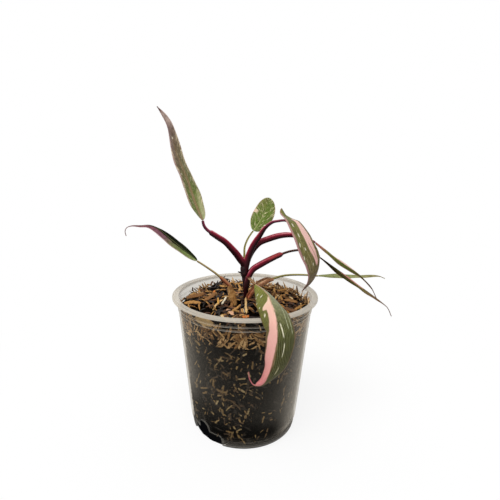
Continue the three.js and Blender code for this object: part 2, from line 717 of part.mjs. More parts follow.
// The roots and their crown as one body
function rootsGeometry(spare = 0) {
  let solid = solidOf(tubeGeometry(ROOT_CROWN, spare));
  for (const root of ROOTS) {
    const tube = { route: rootRoute(root), thickness: ROOT_THICKNESS, sides: 6, steps: 8 };
    solid = solid.add(solidOf(tubeGeometry(tube, spare)));
  }
  return geometryOfSolid(largestBody(solid));
}

function stemGeometry(spare = 0) {
  const stem = solidOf(tubeGeometry(STEM, spare));
  return geometryOfSolid(stem.add(solidOf(tubeGeometry(STUB, spare))));
}

const model = new THREE.Group();

function addPart(name, geometry, { color, roughness }) {
  const flat = geometry.index ? geometry.toNonIndexed() : geometry;
  flat.deleteAttribute('normal');
  flat.computeVertexNormals();
  const skin = new THREE.MeshStandardMaterial({ color, roughness, metalness: 0 });
  const mesh = new THREE.Mesh(flat, skin);
  mesh.name = name;
  model.add(mesh);
}

// The stalks keep clear of the stem and of each other where they crowd at its crown
function addPlant() {
  addPart('stem', stemGeometry(), STEM_SKIN);
  const inTheWay = [stemGeometry(GAP)];
  for (const { name, stalk, blade } of LEAVES) {
    addPart(`stalk_${name}`, cutBy(stalkGeometry(stalk), inTheWay), stalk.skin);
    inTheWay.push(stalkGeometry(stalk, GAP));
    const sheet = sheetGeometry(bladeRows(blade), BLADE_THICKNESS, RIB_RELIEF);
    addPart(`blade_${name}`, sheet, GREEN_BLADE);
  }
  for (const sheath of SHEATHS) {
    addPart(sheath.name, cutBy(sheathGeometry(sheath), inTheWay), DRIED_SKIN);
    inTheWay.push(sheathGeometry(sheath, GAP));
  }
  return inTheWay;
}

const plantHoles = addPlant();
addPart('roots', rootsGeometry(), ROOT_SKIN);
const rootHoles = rootsGeometry(GAP);
addPart('husk_mulch', mulchGeometry([...plantHoles, rootHoles]), HUSK);
addPart('potting_mix', mixGeometry([rootHoles]), DARK_MIX);
addPart('pot', potGeometry(), CLEAR_PLASTIC);

export default model;
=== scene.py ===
"""The looks of a potted variegated philodendron: a milky clear nursery pot, damp coco mix under husk
mulch, and a young plant with eight long leaves. Sizes in the tables are millimetres, with +Z up and the
origin in the middle of the pot's underside, and every finished piece is in metres."""

import json
import math

import bmesh
import bpy
import numpy as np
from bpy.props import FloatProperty, FloatVectorProperty, IntProperty, PointerProperty
from mathutils import Matrix, Vector, noise

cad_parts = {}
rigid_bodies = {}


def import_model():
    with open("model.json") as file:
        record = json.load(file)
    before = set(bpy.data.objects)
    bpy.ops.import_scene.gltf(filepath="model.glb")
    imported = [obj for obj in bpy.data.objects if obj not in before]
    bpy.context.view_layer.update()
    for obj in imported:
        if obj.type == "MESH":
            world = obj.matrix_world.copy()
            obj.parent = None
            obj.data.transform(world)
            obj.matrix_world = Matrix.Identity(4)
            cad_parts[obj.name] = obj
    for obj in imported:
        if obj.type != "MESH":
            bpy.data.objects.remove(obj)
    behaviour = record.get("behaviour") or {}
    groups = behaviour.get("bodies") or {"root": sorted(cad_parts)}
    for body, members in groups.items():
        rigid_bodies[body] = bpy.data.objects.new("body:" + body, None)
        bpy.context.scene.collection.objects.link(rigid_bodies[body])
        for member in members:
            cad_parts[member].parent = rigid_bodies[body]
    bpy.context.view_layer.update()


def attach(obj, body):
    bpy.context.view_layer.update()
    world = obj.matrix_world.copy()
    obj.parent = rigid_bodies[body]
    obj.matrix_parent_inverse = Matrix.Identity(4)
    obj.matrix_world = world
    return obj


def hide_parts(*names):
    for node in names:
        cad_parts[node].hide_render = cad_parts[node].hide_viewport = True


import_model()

bl_info = {
    "name": "Potted Variegated Philodendron",
    "version": (1, 0, 0),
    "blender": (4, 5, 0),
    "location": "View3D > Sidebar > Potted Plant",
    "description": "Builds a potted philodendron with its leaves, husk mulch and clear nursery pot",
    "category": "Object",
}

MM = 0.001


def paint(code):
    """The linear colour of a hex code such as "c08a50", with full alpha."""
    parts = [int(code[k:k + 2], 16) / 255 for k in (0, 2, 4)]
    linear = [c / 12.92 if c <= 0.04045 else ((c + 0.055) / 1.055) ** 2.4 for c in parts]
    return (*linear, 1.0)


# The camera, fitted to the pot's rim, rings and foot
CAMERA_PLACE = (0.0, -317.82, 224.92)
CAMERA_RIGHT = (0.99984919, -0.0070494, 0.01587134)
CAMERA_UP = (-0.01391142, 0.22194652, 0.9749596)
CAMERA_FORWARD = (0.01039547, 0.97503336, -0.22181498)
CAMERA_LENS = 28.8
CAMERA_SENSOR = 36.0

# The pot
POT_HEIGHT = 116.0
POT_FOOT_RADIUS = 42.7
POT_BODY_RADIUS = 44.9
POT_TAPER = 0.0964
POT_FLOOR = 1.5
RIM_THICKNESS = 2.0
FOOT_STEP_HEIGHT = 10.4
FOOT_FLARE = 1.2
FOOT_BEVEL = 1.4
STEP_BEVEL = 0.6
UNDER_STEP = FOOT_STEP_HEIGHT - STEP_BEVEL
OVER_STEP = FOOT_STEP_HEIGHT + STEP_BEVEL
FOOT_RINGS = (3.6, 4.8, 6.0, 7.2)
STACKING_RINGS = (105.6, 108.7)
SLOT_ANGLES = (-135, 45)
ARCH_WIDTH = 12.5
ARCH_HEIGHT = 18.0
MOUTH_WIDTH = 34.0
MOUTH_HEIGHT = 9.5
MOUTH_CORNER = 3.0
CLEAR = "e9e7e3"

# How far a raised ring stands out, and half its height at the wall and at its crest
FOOT_RING = (0.25, 0.4, 0.12)
STACKING_RING = (0.5, 0.7, 0.3)

# A slot's cutter starts under the foot and runs from inside the foot out past the wall
CUTTER_START = -2.0
CUTTER_REACH = (POT_FOOT_RADIUS - 6, POT_FOOT_RADIUS + 12)

# The layers of mix
MIX_TOP = 90.0
MULCH_LEVEL = 108.0
CENTRE_MOUND = {"x": 0, "y": 0, "rise": 3.5, "spread": 26}
BACK_MOUND = {"x": -22, "y": 42, "rise": 5.5, "spread": 15}
WALL_GAP = 0.35
LUMP_GAP = 0.5
LAYER_GAP = 0.3
LOW_DARK_TONE = "07080a"

# The mix in a slot: how far inside the slot's outline and how deep behind the wall it swells out, what it
# leaves free of the wall, and how far it sags between two heights. Loose bits keep clear of the slots.
SWELL_BORDER = 0.6
SWELL_DEPTH = 2.5
SWELL_GAP = 0.1
SAG = 1.5
SAG_HEIGHTS = (2.0, 6.0)
BITS_CLEAR_OF_SLOT = 3.0

# The plant
STEM_FOOT = 92.0
BURGUNDY, PALE = "burgundy", "pale"

# Each leaf: the stalk's route with its thickness from foot to blade, then the blade's rib route, the way
# its upper face looks along the rib, its half width, its outline, and how its two halves fold and curl.
# Lobes say how far the margins of the two halves run back, out and up at the base.
LEAVES = [
    {
        "name": "tall",
        "stalk": {
            "route": [(-1.5, 0, 141), (-4, -1, 144.6), (-7, -3, 149.2), (-11, -7, 155), (-16, -10, 161),
                      (-21, -13, 165), (-25.5, -15, 168.4), (-29.8, -16, 171.6), (-32.1, -17, 175),
                      (-33, -17, 178.7)],
            "facing": (0.5, 0.1, 0.85),
            "thickness": [(0, 6), (0.4, 5.2), (0.78, 4.2), (0.8, 2.6), (1, 2.1)],
            "sheath_end": 0.79, "skin": BURGUNDY,
        },
        "blade": {
            "rib": [(-33, -17, 179), (-38, -18, 192), (-44, -20, 212), (-51, -20, 229), (-54, -20, 241),
                    (-57.5, -20, 251), (-64, -20, 260)],
            "facing": [(0, 0.7, 0.65, 0.3), (0.5, 0.78, 0.55, 0.3), (1, 0.73, 0.6, 0.3)],
            "half_width": 12, "outline": (0.55, 1),
            "fold": [(0, 6, 6), (0.45, -12, -2), (1, 8, 8)], "curl": 4,
        },
    },
    {
        "name": "low_left",
        "stalk": {
            "route": [(-7, -3, 98), (-9, -4, 110), (-11, -5, 118), (-13.5, -5, 124), (-19, -4, 129),
                      (-24, -3, 133), (-32, -1, 138), (-39.8, 0, 142.8)],
            "facing": (0.5, 0, 0.85), "thickness": [(0, 3.4), (0.6, 2.8), (0.62, 1.8), (1, 1.5)],
            "sheath_end": 0.61, "skin": PALE,
        },
        "blade": {
            "rib": [(-40, 0, 143), (-46, 1, 148), (-56, 2, 156), (-64, 3, 162.5), (-71, 4, 168),
                    (-79, 5, 171), (-86, 6, 170.5), (-94, 7, 170), (-98.5, 8, 168), (-100, 8.5, 165),
                    (-99.5, 9, 161)],
            "facing": [(0, 0.63, 0, 0.78), (0.4, 0.6, -0.1, 0.8), (0.65, 0.15, -0.22, 0.96),
                       (1, -1, 0, 0.1)],
            "half_width": 11, "outline": (0.55, 2.2),
            "fold": [(0, 2, 2), (0.4, -4, -4), (0.65, -18, -18), (1, -20, -20)], "curl": -4,
        },
    },
    {
        "name": "small",
        "stalk": {
            "route": [(-1.2, 3.9, 138.6), (-1.3, 5, 142.5), (-1.2, 6.6, 147.5), (-1, 8, 153), (1, 9, 159),
                      (4, 10, 164), (5.9, 10, 166.6)],
            "facing": (0, -1, 0.4), "thickness": [(0, 2.4), (0.3, 1.9), (1, 1.4)],
            "skin": PALE,
        },
        "blade": {
            "rib": [(6, 10, 167), (10, 10, 173), (15, 11, 182), (18.5, 13, 194)],
            "facing": [(0, -0.3, -1, 0.3), (1, -0.3, -1, 0.4)],
            "half_width": 9, "outline": (0.5, 0.5),
            "fold": [(0, 8, 8), (1, 8, 8)], "curl": -14,
        },
    },
    {
        "name": "hanging",
        "stalk": {
            "route": [(0.8, -1, 141), (3, -2, 150), (6.5, -3.5, 158.5), (11, -6, 166), (15, -10, 173),
                      (20, -15, 178), (24, -20, 179.8), (27.7, -23.9, 180.9), (30.2, -26.6, 180.9)],
            "facing": (-0.6, 0.3, 0.75), "thickness": [(0, 5), (0.4, 4.2), (0.6, 3), (0.8, 2.1), (1, 1.8)],
            "sheath_end": 0.62, "skin": BURGUNDY,
        },
        "blade": {
            "rib": [(31, -27, 182), (35, -32, 180), (40, -36, 173), (44.5, -38.5, 164), (48.5, -39, 154),
                    (49.5, -38, 146), (47, -37, 137), (42, -36, 130)],
            "facing": [(0, 0.42, -0.25, 0.85), (0.25, 0.67, -0.45, 0.59), (0.5, 0.76, -0.56, 0.33),
                       (0.62, 0.81, -0.58, 0.09), (1, 0.7, -0.57, -0.45)],
            "half_width": 13, "outline": (0.55, 1),
            "fold": [(0, -6, -6), (0.3, -2, -2), (1, 4, 4)], "curl": -6,
            "lobes": [{"back": 9, "out": -1, "rise": 2}, {"back": 12, "out": -2, "rise": 4.5}],
        },
    },
    {
        "name": "upper_right",
        "stalk": {
            "route": [(1, 1.4, 141), (2.6, 1, 146.6), (5.8, 0.5, 152.8), (11, -0.5, 158.9),
                      (18, -1.5, 162.3), (27, -2, 165.2), (35, -3, 166.2), (43, -3, 165.2),
                      (49.7, -4, 163.3), (55.3, -4, 160.6)],
            "facing": (-0.5, 0, 0.85),
            "thickness": [(0, 4.8), (0.5, 4.8), (0.78, 3.6), (0.8, 2.2), (1, 1.9)],
            "sheath_end": 0.79, "skin": BURGUNDY,
        },
        "blade": {
            "rib": [(55.6, -4, 160.4), (65.4, -5, 152.7), (74, -6, 146.3), (82, -7, 141),
                    (89.4, -8, 136.4), (95.8, -9, 131.2), (101.7, -10, 125.2), (106.5, -10, 116.6)],
            "facing": [(0, 0.65, -0.05, 0.75), (0.6, 0.65, -0.05, 0.75), (1, 0.85, -0.15, 0.5)],
            "half_width": 12, "outline": (0.6, 1.3),
            "fold": [(0, 2, 0), (1, 2, 0)], "curl": -4,
        },
    },
    {
        "name": "lower_right",
        "stalk": {
            "route": [(0.8, -3.2, 123), (2.2, -2.8, 130), (6, -1.5, 136.6), (13, 0, 141), (21, 2, 145),
                      (28, 4, 147.9), (36, 6, 150.4), (43.3, 7, 151.5), (50.3, 8, 151.5),
                      (56.3, 9, 149.5), (62.2, 10, 145.7)],
            "facing": (-0.5, 0, 0.85), "thickness": [(0, 4.8), (0.3, 5), (0.54, 4.2), (0.56, 2), (1, 1.7)],
            "sheath_end": 0.55, "skin": BURGUNDY,
        },
        "blade": {
            "rib": [(62.4, 10, 145.3), (70.4, 11, 139.6), (79.5, 12, 133.2), (89.5, 13, 126.2),
                    (99.6, 14, 118.6), (110, 15, 111.2), (120.4, 16, 103.4), (126.5, 16, 98),
                    (130.6, 16, 90.2)],
            "facing": [(0, 0.62, -0.1, 0.78), (0.7, 0.58, -0.1, 0.8), (1, 0.85, -0.2, 0.5)],
            "half_width": 12, "outline": (0.6, 1.5),
            "fold": [(0, -12, 0), (1, -12, 0)], "curl": -6,
        },
    },
    {
        "name": "level",
        "stalk": {
            "route": [(0.6, -4.4, 101), (1, -4.3, 110), (1.8, -4, 115.5), (5, -3, 119), (10, 0, 122.5),
                      (17.2, 6, 124.6), (24.5, 12, 125.2), (30.9, 17, 125.7), (37.3, 21, 125.6),
                      (45.9, 25, 124.9), (55.6, 29, 123.6), (65.9, 33, 121.8)],
            "facing": (-0.3, 0, 1), "thickness": [(0, 2.2), (0.3, 2), (1, 1.6)],
            "skin": PALE,
        },
        "blade": {
            "rib": [(66.4, 33, 121.7), (78, 34, 121.7), (89.6, 35, 121), (102.2, 36, 120.7),
                    (113.8, 37, 121), (124.3, 38, 120.6), (129.6, 38, 118.6)],
            "facing": [(0, 0, -0.05, 1), (1, 0.1, -0.05, 1)],
            "half_width": 5.2, "outline": (0.5, 1),
            "fold": [(0, 6, 6), (1, 6, 6)], "curl": -10,
        },
    },
    {
        "name": "front",
        "stalk": {
            "route": [(1, -3.4, 131), (5, -9, 129.4), (7.9, -13.7, 128.1)],
            "facing": (0, -0.2, 1), "thickness": [(0, 2.4), (1, 1.8)],
            "skin": PALE,
        },
        "blade": {
            "rib": [(8.1, -14, 128), (12.9, -26, 128.2), (17.1, -47, 129.1), (18.4, -65, 127.2),
                    (19.5, -74, 123), (21.2, -78, 116), (21.5, -78.5, 109), (20.5, -78, 98),
                    (18.5, -76.5, 89.4), (14.8, -75, 82), (10.8, -74.3, 76.8), (6.9, -75, 76.3),
                    (3.9, -76, 81), (2.9, -77, 87)],
            "facing": [(0, 0, 0, 1), (0.25, -0.08, -0.05, 1), (0.4, -0.3, -0.35, 0.89),
                       (0.5, -0.28, -0.77, 0.57), (0.6, -0.36, -0.92, 0.14), (0.8, -0.42, -0.9, 0.1),
                       (1, 0, -1, -0.1)],
            "half_width": 14.5, "outline": (0.6, 0.6, 0.9),
            "fold": [(0, -24, -24), (0.4, -30, -27), (0.5, -30, -34), (0.6, -30, -14), (0.76, -29, -12),
                     (0.86, -27, -44), (0.92, -24, -64), (1, -20, -30)],
            "curl": -38,
        },
    },
]

# The dried sheaths: a strip about a rib route, open on the side that it faces
SHEATHS = [
    {
        "name": "sheath_left",
        "foot": "7a5228", "tones": ("563418", "a87438", "e4b878"),
        "rib": [(-13.2, -7.6, 124), (-11.4, -8, 117.5), (-9.4, -8.4, 110.5), (-8.4, -8.6, 107.5)],
        "facing": [(0, -0.1, 1, 0.3), (1, 0, 1, 0.2)],
        "half_width": 3.4, "outline": (0.35, 0.25),
        "fold": [(0, 10, 10), (1, 10, 10)], "curl": 40,
    },
    {
        "name": "sheath_right",
        "foot": "b0532c", "tones": ("7a4424", "b87a50", "eab48c"),
        "rib": [(3, -6.2, 112.6), (7.5, -3.6, 117.4), (12.5, 1, 120.5), (18.5, 6.4, 122.4),
                (24, 11, 123.7)],
        "facing": [(0, -0.5, 0, 0.85), (1, -0.1, 0, 1)],
        "half_width": 6.2, "outline": (0.5, 0.35),
        "fold": [(0, 25, 25), (1, 20, 20)], "curl": 70,
    },
]

STEM = {
    "route": [(0, 0, STEM_FOOT), (0, 0, 112), (0.2, 0, 119), (-0.3, 0, 127), (-1.2, 0, 134),
              (-1.4, 0, 140.5)],
    "thickness": [(0, 4.4), (0.38, 3.4), (0.5, 3.6), (0.58, 4.6), (0.66, 4.2), (0.8, 5.4), (0.88, 6.2),
                  (1, 5)],
}
STUB = {"route": [(-1, 0, 132.2), (-3.6, -0.3, 133.4), (-6.2, -0.6, 134.2)], "thickness": [(0, 2), (1, 0.9)]}
ROOT_TOP = STEM_FOOT - 0.3
ROOTS = [
    {"angle": 20, "reach": 31, "depth": 62},
    {"angle": 95, "reach": 26, "depth": 48},
    {"angle": 150, "reach": 34, "depth": 70},
    {"angle": 215, "reach": 22, "depth": 78},
    {"angle": 275, "reach": 33, "depth": 55},
    {"angle": 325, "reach": 18, "depth": 72},
]
# A root's course: shares of its reach and of its depth, and how many degrees it sways
ROOT_COURSE = [(0.35, 0.1, 0), (0.75, 0.4, 14), (0.9, 0.75, -6), (1, 1, 10)]
ROOT_START = (0, 0, ROOT_TOP - 4)
ROOT_CROWN = [(0, 0, ROOT_TOP), (0, 0, ROOT_TOP - 3), (0, 0, ROOT_TOP - 7)]
CROWN_RADII = (2.1, 1.5)
ROOT_RADII = (1.1, 0.5)
ROOT_POINTS = 60

# The floor and the soft light from overhead
FLOOR_REACH = 3000.0
FLOOR_DROP = 0.05
SUN_SPREAD = 45
SUN_TURN = (26, -16, 0)


class PotSettings(bpy.types.PropertyGroup):
    """Sizes and colour of the pot."""

    top_radius: FloatProperty(name="Rim Radius", description="Outer radius of the rim",
                              default=60 * MM, unit="LENGTH")
    wall: FloatProperty(name="Wall", description="Thickness of the moulded wall",
                        default=1.3 * MM, unit="LENGTH")
    segments: IntProperty(name="Segments", description="Flats round the pot", default=192, min=24)
    milk: FloatProperty(name="Milkiness", description="Share of each wall face that hides what is behind",
                        default=0.006, min=0, max=1, subtype="FACTOR")
    tint: FloatVectorProperty(name="Tint", description="Colour of the plastic's haze",
                              default=paint("dcd4c6"), size=4, subtype="COLOR")


class MixSettings(bpy.types.PropertyGroup):
    """Amounts and colours of the potting mix and the mulch."""

    top_slivers: FloatProperty(name="Top Slivers", description="Slivers a square metre on top",
                               default=40000, min=0)
    wall_slivers: FloatProperty(name="Wall Slivers", description="Slivers a square metre on the wall",
                                default=115000, min=0)
    mix_slivers: FloatProperty(name="Mix Slivers", description="Slivers a square metre in the dark mix",
                               default=36000, min=0)
    seed: IntProperty(name="Seed", description="Which way the slivers fall", default=7)
    gap: FloatVectorProperty(name="Gap", description="Colour of the dark gaps in the mulch",
                             default=paint("0b0806"), size=4, subtype="COLOR")
    crumb: FloatVectorProperty(name="Crumb", description="Colour of the dark damp mix",
                               default=paint("0d0e10"), size=4, subtype="COLOR")


class PlantSettings(bpy.types.PropertyGroup):
    """Sizes and colours of the plant."""

    blade_thickness: FloatProperty(name="Blade", description="Thickness of a blade beside its rib",
                                   default=0.6 * MM, unit="LENGTH")
    sheath_thickness: FloatProperty(name="Sheath", description="Thickness of a dried sheath",
                                    default=0.5 * MM, unit="LENGTH")
    cream: FloatVectorProperty(name="Cream", description="Colour of the cream flecks",
                               default=paint("dccfa8"), size=4, subtype="COLOR")


class StageSettings(bpy.types.PropertyGroup):
    """The floor and the light."""

    floor: FloatVectorProperty(name="Floor", description="Colour of the floor",
                               default=paint("f4f4f4"), size=4, subtype="COLOR")
    key: FloatProperty(name="Key Light", description="Strength of the soft overhead light",
                       default=2.3, min=0)
    fill: FloatProperty(name="Fill Light", description="Strength of the light from all round",
                        default=0.5, min=0)


def arithmetic(operation, swapped=False):
    """A method that puts its signal and the other terms through a Math node."""

    def method(self, *others):
        terms = [*others, self] if swapped else [self, *others]
        return self.tree.node("ShaderNodeMath", {"operation": operation}, dict(enumerate(terms)))

    return method


class Signal:
    """A socket in a material's or a shape's tree. Arithmetic on signals adds the Math nodes for it."""

    __add__ = arithmetic("ADD")
    __radd__ = arithmetic("ADD", swapped=True)
    __sub__ = arithmetic("SUBTRACT")
    __rsub__ = arithmetic("SUBTRACT", swapped=True)
    __mul__ = arithmetic("MULTIPLY")
    __rmul__ = arithmetic("MULTIPLY", swapped=True)
    __truediv__ = arithmetic("DIVIDE")
    __pow__ = arithmetic("POWER")
    __abs__ = arithmetic("ABSOLUTE")
    least = arithmetic("MINIMUM")
    most = arithmetic("MAXIMUM")
    wave = arithmetic("SINE")

    def __init__(self, tree, socket):
        self.tree = tree
        self.socket = socket

    def sibling(self, name):
        """Another output of the same node."""
        return Signal(self.tree, self.socket.node.outputs[name])

    def rise(self, low, high):
        """0 below low and 1 above high, eased between them, or the other way round if low is above high."""
        settings = {"interpolation_type": "SMOOTHSTEP"}
        ends = {"Value": self, "From Min": min(low, high), "From Max": max(low, high),
                "To Min": float(low > high), "To Max": float(low <= high)}
        return self.tree.node("ShaderNodeMapRange", settings, ends)


class Tree:
    """A node tree with one method that makes any node of it."""

    def __init__(self, tree):
        self.tree = tree

    def node(self, kind, settings=None, sockets=None, out=0):
        """One output of a new node, whose settings are made before its sockets are set or linked."""
        made = self.tree.nodes.new(kind)
        for name, value in (settings or {}).items():
            if name == "stops":
                self.set_stops(made.color_ramp, value)
            elif name == "points":
                self.set_points(made.mapping, value)
            else:
                setattr(made, name, value)
        for name, value in (sockets or {}).items():
            self.feed(made.inputs[name], value)
        return Signal(self, made.outputs[out]) if made.outputs else None

    def feed(self, socket, value):
        if isinstance(value, Signal):
            self.tree.links.new(value.socket, socket)
        else:
            socket.default_value = value

    @staticmethod
    def set_stops(ramp, stops):
        while len(ramp.elements) < len(stops):
            ramp.elements.new(1.0)
        for element, (place, colour) in zip(ramp.elements, stops):
            element.position = place
            element.color = colour

    @staticmethod
    def set_points(mapping, points):
        mapping.use_clip = False
        curve = mapping.curves[0]
        while len(curve.points) < len(points):
            curve.points.new(1.0, 1.0)
        for point, place in zip(curve.points, points):
            point.location = place
        mapping.update()


class Skin(Tree):
    """A material under construction, with the nodes that the finishes here share."""

    def __init__(self, name):
        self.material = bpy.data.materials.new(name)
        self.material.use_nodes = True
        super().__init__(self.material.node_tree)
        self.tree.nodes.clear()

    def attribute(self, name):
        return self.node("ShaderNodeAttribute", {"attribute_name": name}, out="Fac")

    def spot(self, scale=(1, 1, 1)):
        """The place on the piece in millimetres, stretched by the scale."""
        place = self.node("ShaderNodeTexCoord", out="Object")
        stretch = tuple(s / MM for s in scale)
        return self.node("ShaderNodeVectorMath", {"operation": "MULTIPLY"}, {0: place, 1: stretch})

    def combine(self, x, y, z=0.0):
        return self.node("ShaderNodeCombineXYZ", sockets={0: x, 1: y, 2: z})

    def noise(self, where, scale, detail, roughness):
        return self.node("ShaderNodeTexNoise", sockets={"Vector": where, "Scale": scale, "Detail": detail,
                                                        "Roughness": roughness}, out="Fac")

    def cells(self, where, scale):
        return self.node("ShaderNodeTexVoronoi", sockets={"Vector": where, "Scale": scale}, out="Distance")

    def mix(self, share, first, second, blend="MIX"):
        settings = {"data_type": "RGBA", "blend_type": blend, "clamp_factor": True}
        return self.node("ShaderNodeMix", settings, {0: share, 6: first, 7: second}, out=2)

    def ramp(self, value, tones):
        """A colour for each value, from tones as (place, hex code)."""
        stops = [(place, paint(code)) for place, code in tones]
        return self.node("ShaderNodeValToRGB", {"stops": stops}, {"Fac": value}, out="Color")

    def curve(self, value, points):
        return self.node("ShaderNodeFloatCurve", {"points": points}, {"Value": value})

    def bump(self, height, distance, strength):
        return self.node("ShaderNodeBump", sockets={"Height": height, "Distance": distance * MM,
                                                    "Strength": strength})

    def surface(self, **sockets):
        """The Principled shader with sockets named in lower case with underscores."""
        names = {name.replace("_", " ").title().replace("Ior", "IOR"): value
                 for name, value in sockets.items()}
        return self.node("ShaderNodeBsdfPrincipled", sockets=names)

    def close(self, shader):
        self.node("ShaderNodeOutputMaterial", sockets={"Surface": shader})
        return self.material


# Routes, frames and lofts


class Route:
    """A smooth line through points, read at shares of its length. It rounds its corners as a centripetal
    Catmull-Rom spline does, so that it runs through the points without overshooting them."""

    STEPS = 80

    def __init__(self, points):
        p = np.array(points, float)
        p = np.vstack([2 * p[0] - p[1], p, 2 * p[-1] - p[-2]])
        pieces = []
        for k in range(1, len(p) - 2):
            pieces.append(self.span(*p[k - 1:k + 3]))
        self.line = np.vstack([*pieces, p[-2:-1]])
        reach = np.linalg.norm(np.diff(self.line, axis=0), axis=1).cumsum()
        self.length = reach[-1]
        self.places = np.concatenate([[0], reach]) / self.length

    def span(self, a, b, c, d):
        before, across, after = (np.linalg.norm(q - o) ** 0.5 for o, q in ((a, b), (b, c), (c, d)))
        start = ((b - a) / before - (c - a) / (before + across) + (c - b) / across) * across
        end = ((c - b) / across - (d - b) / (across + after) + (d - c) / after) * across
        t = np.linspace(0, 1, self.STEPS, endpoint=False)[:, None]
        return (b + start * t + (3 * (c - b) - 2 * start - end) * t ** 2
                + (2 * (b - c) + start + end) * t ** 3)

    def at(self, places):
        return np.stack([np.interp(places, self.places, self.line[:, k]) for k in range(3)], axis=-1)

    def along(self, places):
        step = 0.004
        ahead = self.at(np.clip(places + step, 0, 1))
        behind = self.at(np.clip(places - step, 0, 1))
        return unit(ahead - behind)


def unit(vectors):
    return vectors / np.linalg.norm(vectors, axis=-1, keepdims=True)


def eased(keys, places, softness=0.025):
    """Values at places along a list of (place, value, ...), straight between the entries and eased there."""
    keys = np.array(keys, float)
    grid = np.linspace(-0.3, 1.3, 641)
    reach = 60
    spread = softness / (grid[1] - grid[0])
    weights = np.exp(-0.5 * (np.arange(-reach, reach + 1) / spread) ** 2)
    weights /= weights.sum()
    columns = []
    for values in keys[:, 1:].T:
        straight = np.interp(grid, keys[:, 0], values)
        smooth = np.convolve(np.pad(straight, reach, mode="edge"), weights, mode="valid")
        columns.append(np.interp(places, grid, smooth))
    return np.stack(columns, axis=-1)


def frames_along(route, facing, places):
    """The points, the ways along, the faces and the ways across at places on a route."""
    along = route.along(places)
    face = facing - (facing * along).sum(-1, keepdims=True) * along
    face = unit(face)
    return route.at(places), along, face, np.cross(along, face)


def outline_share(places, outline):
    """The share of the half width along a blade, for an outline s^base * (1 - s)^tip that ends where the
    drawn-out point begins."""
    base, tip, point_start = (*outline, 1)[:3]
    widest = base / (base + tip)
    peak = widest ** base * (1 - widest) ** tip
    s = np.minimum(places / point_start, 1)
    return s ** base * (1 - s) ** tip / peak


def ring_faces(rings, count):
    """Quads between closed rings of count points each."""
    faces = []
    for ring in range(rings - 1):
        for k in range(count):
            a = ring * count + k
            b = ring * count + (k + 1) % count
            faces.append((a, b, b + count, a + count))
    return faces


def new_piece(name, points, faces, marks=None, skins=(), smooth=True, edges=()):
    """A mesh object from points in millimetres, with a float attribute for each mark."""
    mesh = bpy.data.meshes.new(name)
    mesh.from_pydata((np.asarray(points, float) * MM).tolist(), edges, faces)
    for skin in skins:
        mesh.materials.append(skin)
    mesh.polygons.foreach_set("use_smooth", [smooth] * len(mesh.polygons))
    piece = bpy.data.objects.new(name, mesh)
    for mark, values in (marks or {}).items():
        add_mark(piece, mark, values)
    bpy.context.scene.collection.objects.link(piece)
    return piece


def turned_outwards(piece):
    """Merges the piece's doubles and points its faces outwards."""
    bm = bmesh.new()
    bm.from_mesh(piece.data)
    bmesh.ops.remove_doubles(bm, verts=bm.verts, dist=1e-6)
    bmesh.ops.recalc_face_normals(bm, faces=bm.faces)
    bm.to_mesh(piece.data)
    bm.free()
    return piece


def plain_mesh(piece):
    """Turns the piece with its modifiers into a plain mesh."""
    bpy.context.view_layer.update()
    seen = piece.evaluated_get(bpy.context.evaluated_depsgraph_get())
    mesh = bpy.data.meshes.new_from_object(seen)
    old = piece.data
    piece.modifiers.clear()
    piece.data = mesh
    mesh.name = piece.name
    bpy.data.meshes.remove(old)
    return piece


def joined(name, pieces):
    """One piece from several, which are used up."""
    bpy.ops.object.select_all(action="DESELECT")
    for piece in pieces:
        piece.select_set(True)
    bpy.context.view_layer.objects.active = pieces[0]
    bpy.ops.object.join()
    pieces[0].name = name
    pieces[0].data.name = name
    return pieces[0]


def points_of(piece):
    """The piece's points in millimetres."""
    flat = np.empty(len(piece.data.vertices) * 3)
    piece.data.vertices.foreach_get("co", flat)
    return flat.reshape(-1, 3) / MM


def move_points(piece, points):
    piece.data.vertices.foreach_set("co", (points * MM).ravel())
    piece.data.update()


def add_mark(piece, mark, values):
    attribute = piece.data.attributes.new(mark, "FLOAT", "POINT")
    attribute.data.foreach_set("value", np.asarray(values, np.float32).ravel())


def hand_over(piece, node):
    """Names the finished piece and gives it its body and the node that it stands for."""
    piece.name = "fine_" + node
    piece.data.name = piece.name
    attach(piece, "root")
    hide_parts(node)


# Shape trees


class Shape(Tree):
    """A Geometry Nodes tree under construction, with named inputs and one geometry output."""

    KINDS = {"geometry": "NodeSocketGeometry", "whole": "NodeSocketInt", "number": "NodeSocketFloat",
             "skin": "NodeSocketMaterial", "group": "NodeSocketCollection"}

    def __init__(self, name, inputs):
        group = bpy.data.node_groups.new(name, "GeometryNodeTree")
        super().__init__(group)
        group.interface.new_socket("Geometry", in_out="OUTPUT", socket_type=self.KINDS["geometry"])
        self.identifiers = {}
        for label, kind in {"Geometry": "geometry", **inputs}.items():
            socket = group.interface.new_socket(label, in_out="INPUT", socket_type=self.KINDS[kind])
            self.identifiers[label] = socket.identifier
        self.entry = group.nodes.new("NodeGroupInput")

    def given(self, label):
        return Signal(self, self.entry.outputs[label])

    def close(self, geometry, skin):
        """Ends the tree in real geometry with its material."""
        real = self.node("GeometryNodeRealizeInstances", sockets={0: geometry})
        dressed = self.node("GeometryNodeSetMaterial", sockets={"Geometry": real, "Material": skin})
        self.node("NodeGroupOutput", sockets={0: dressed})

    def grow(self, piece, values):
        """Runs the tree on the piece with the named values and leaves a plain mesh."""
        modifier = piece.modifiers.new(self.tree.name, "NODES")
        modifier.node_group = self.tree
        for label, value in values.items():
            modifier[self.identifiers[label]] = value
        return plain_mesh(piece)


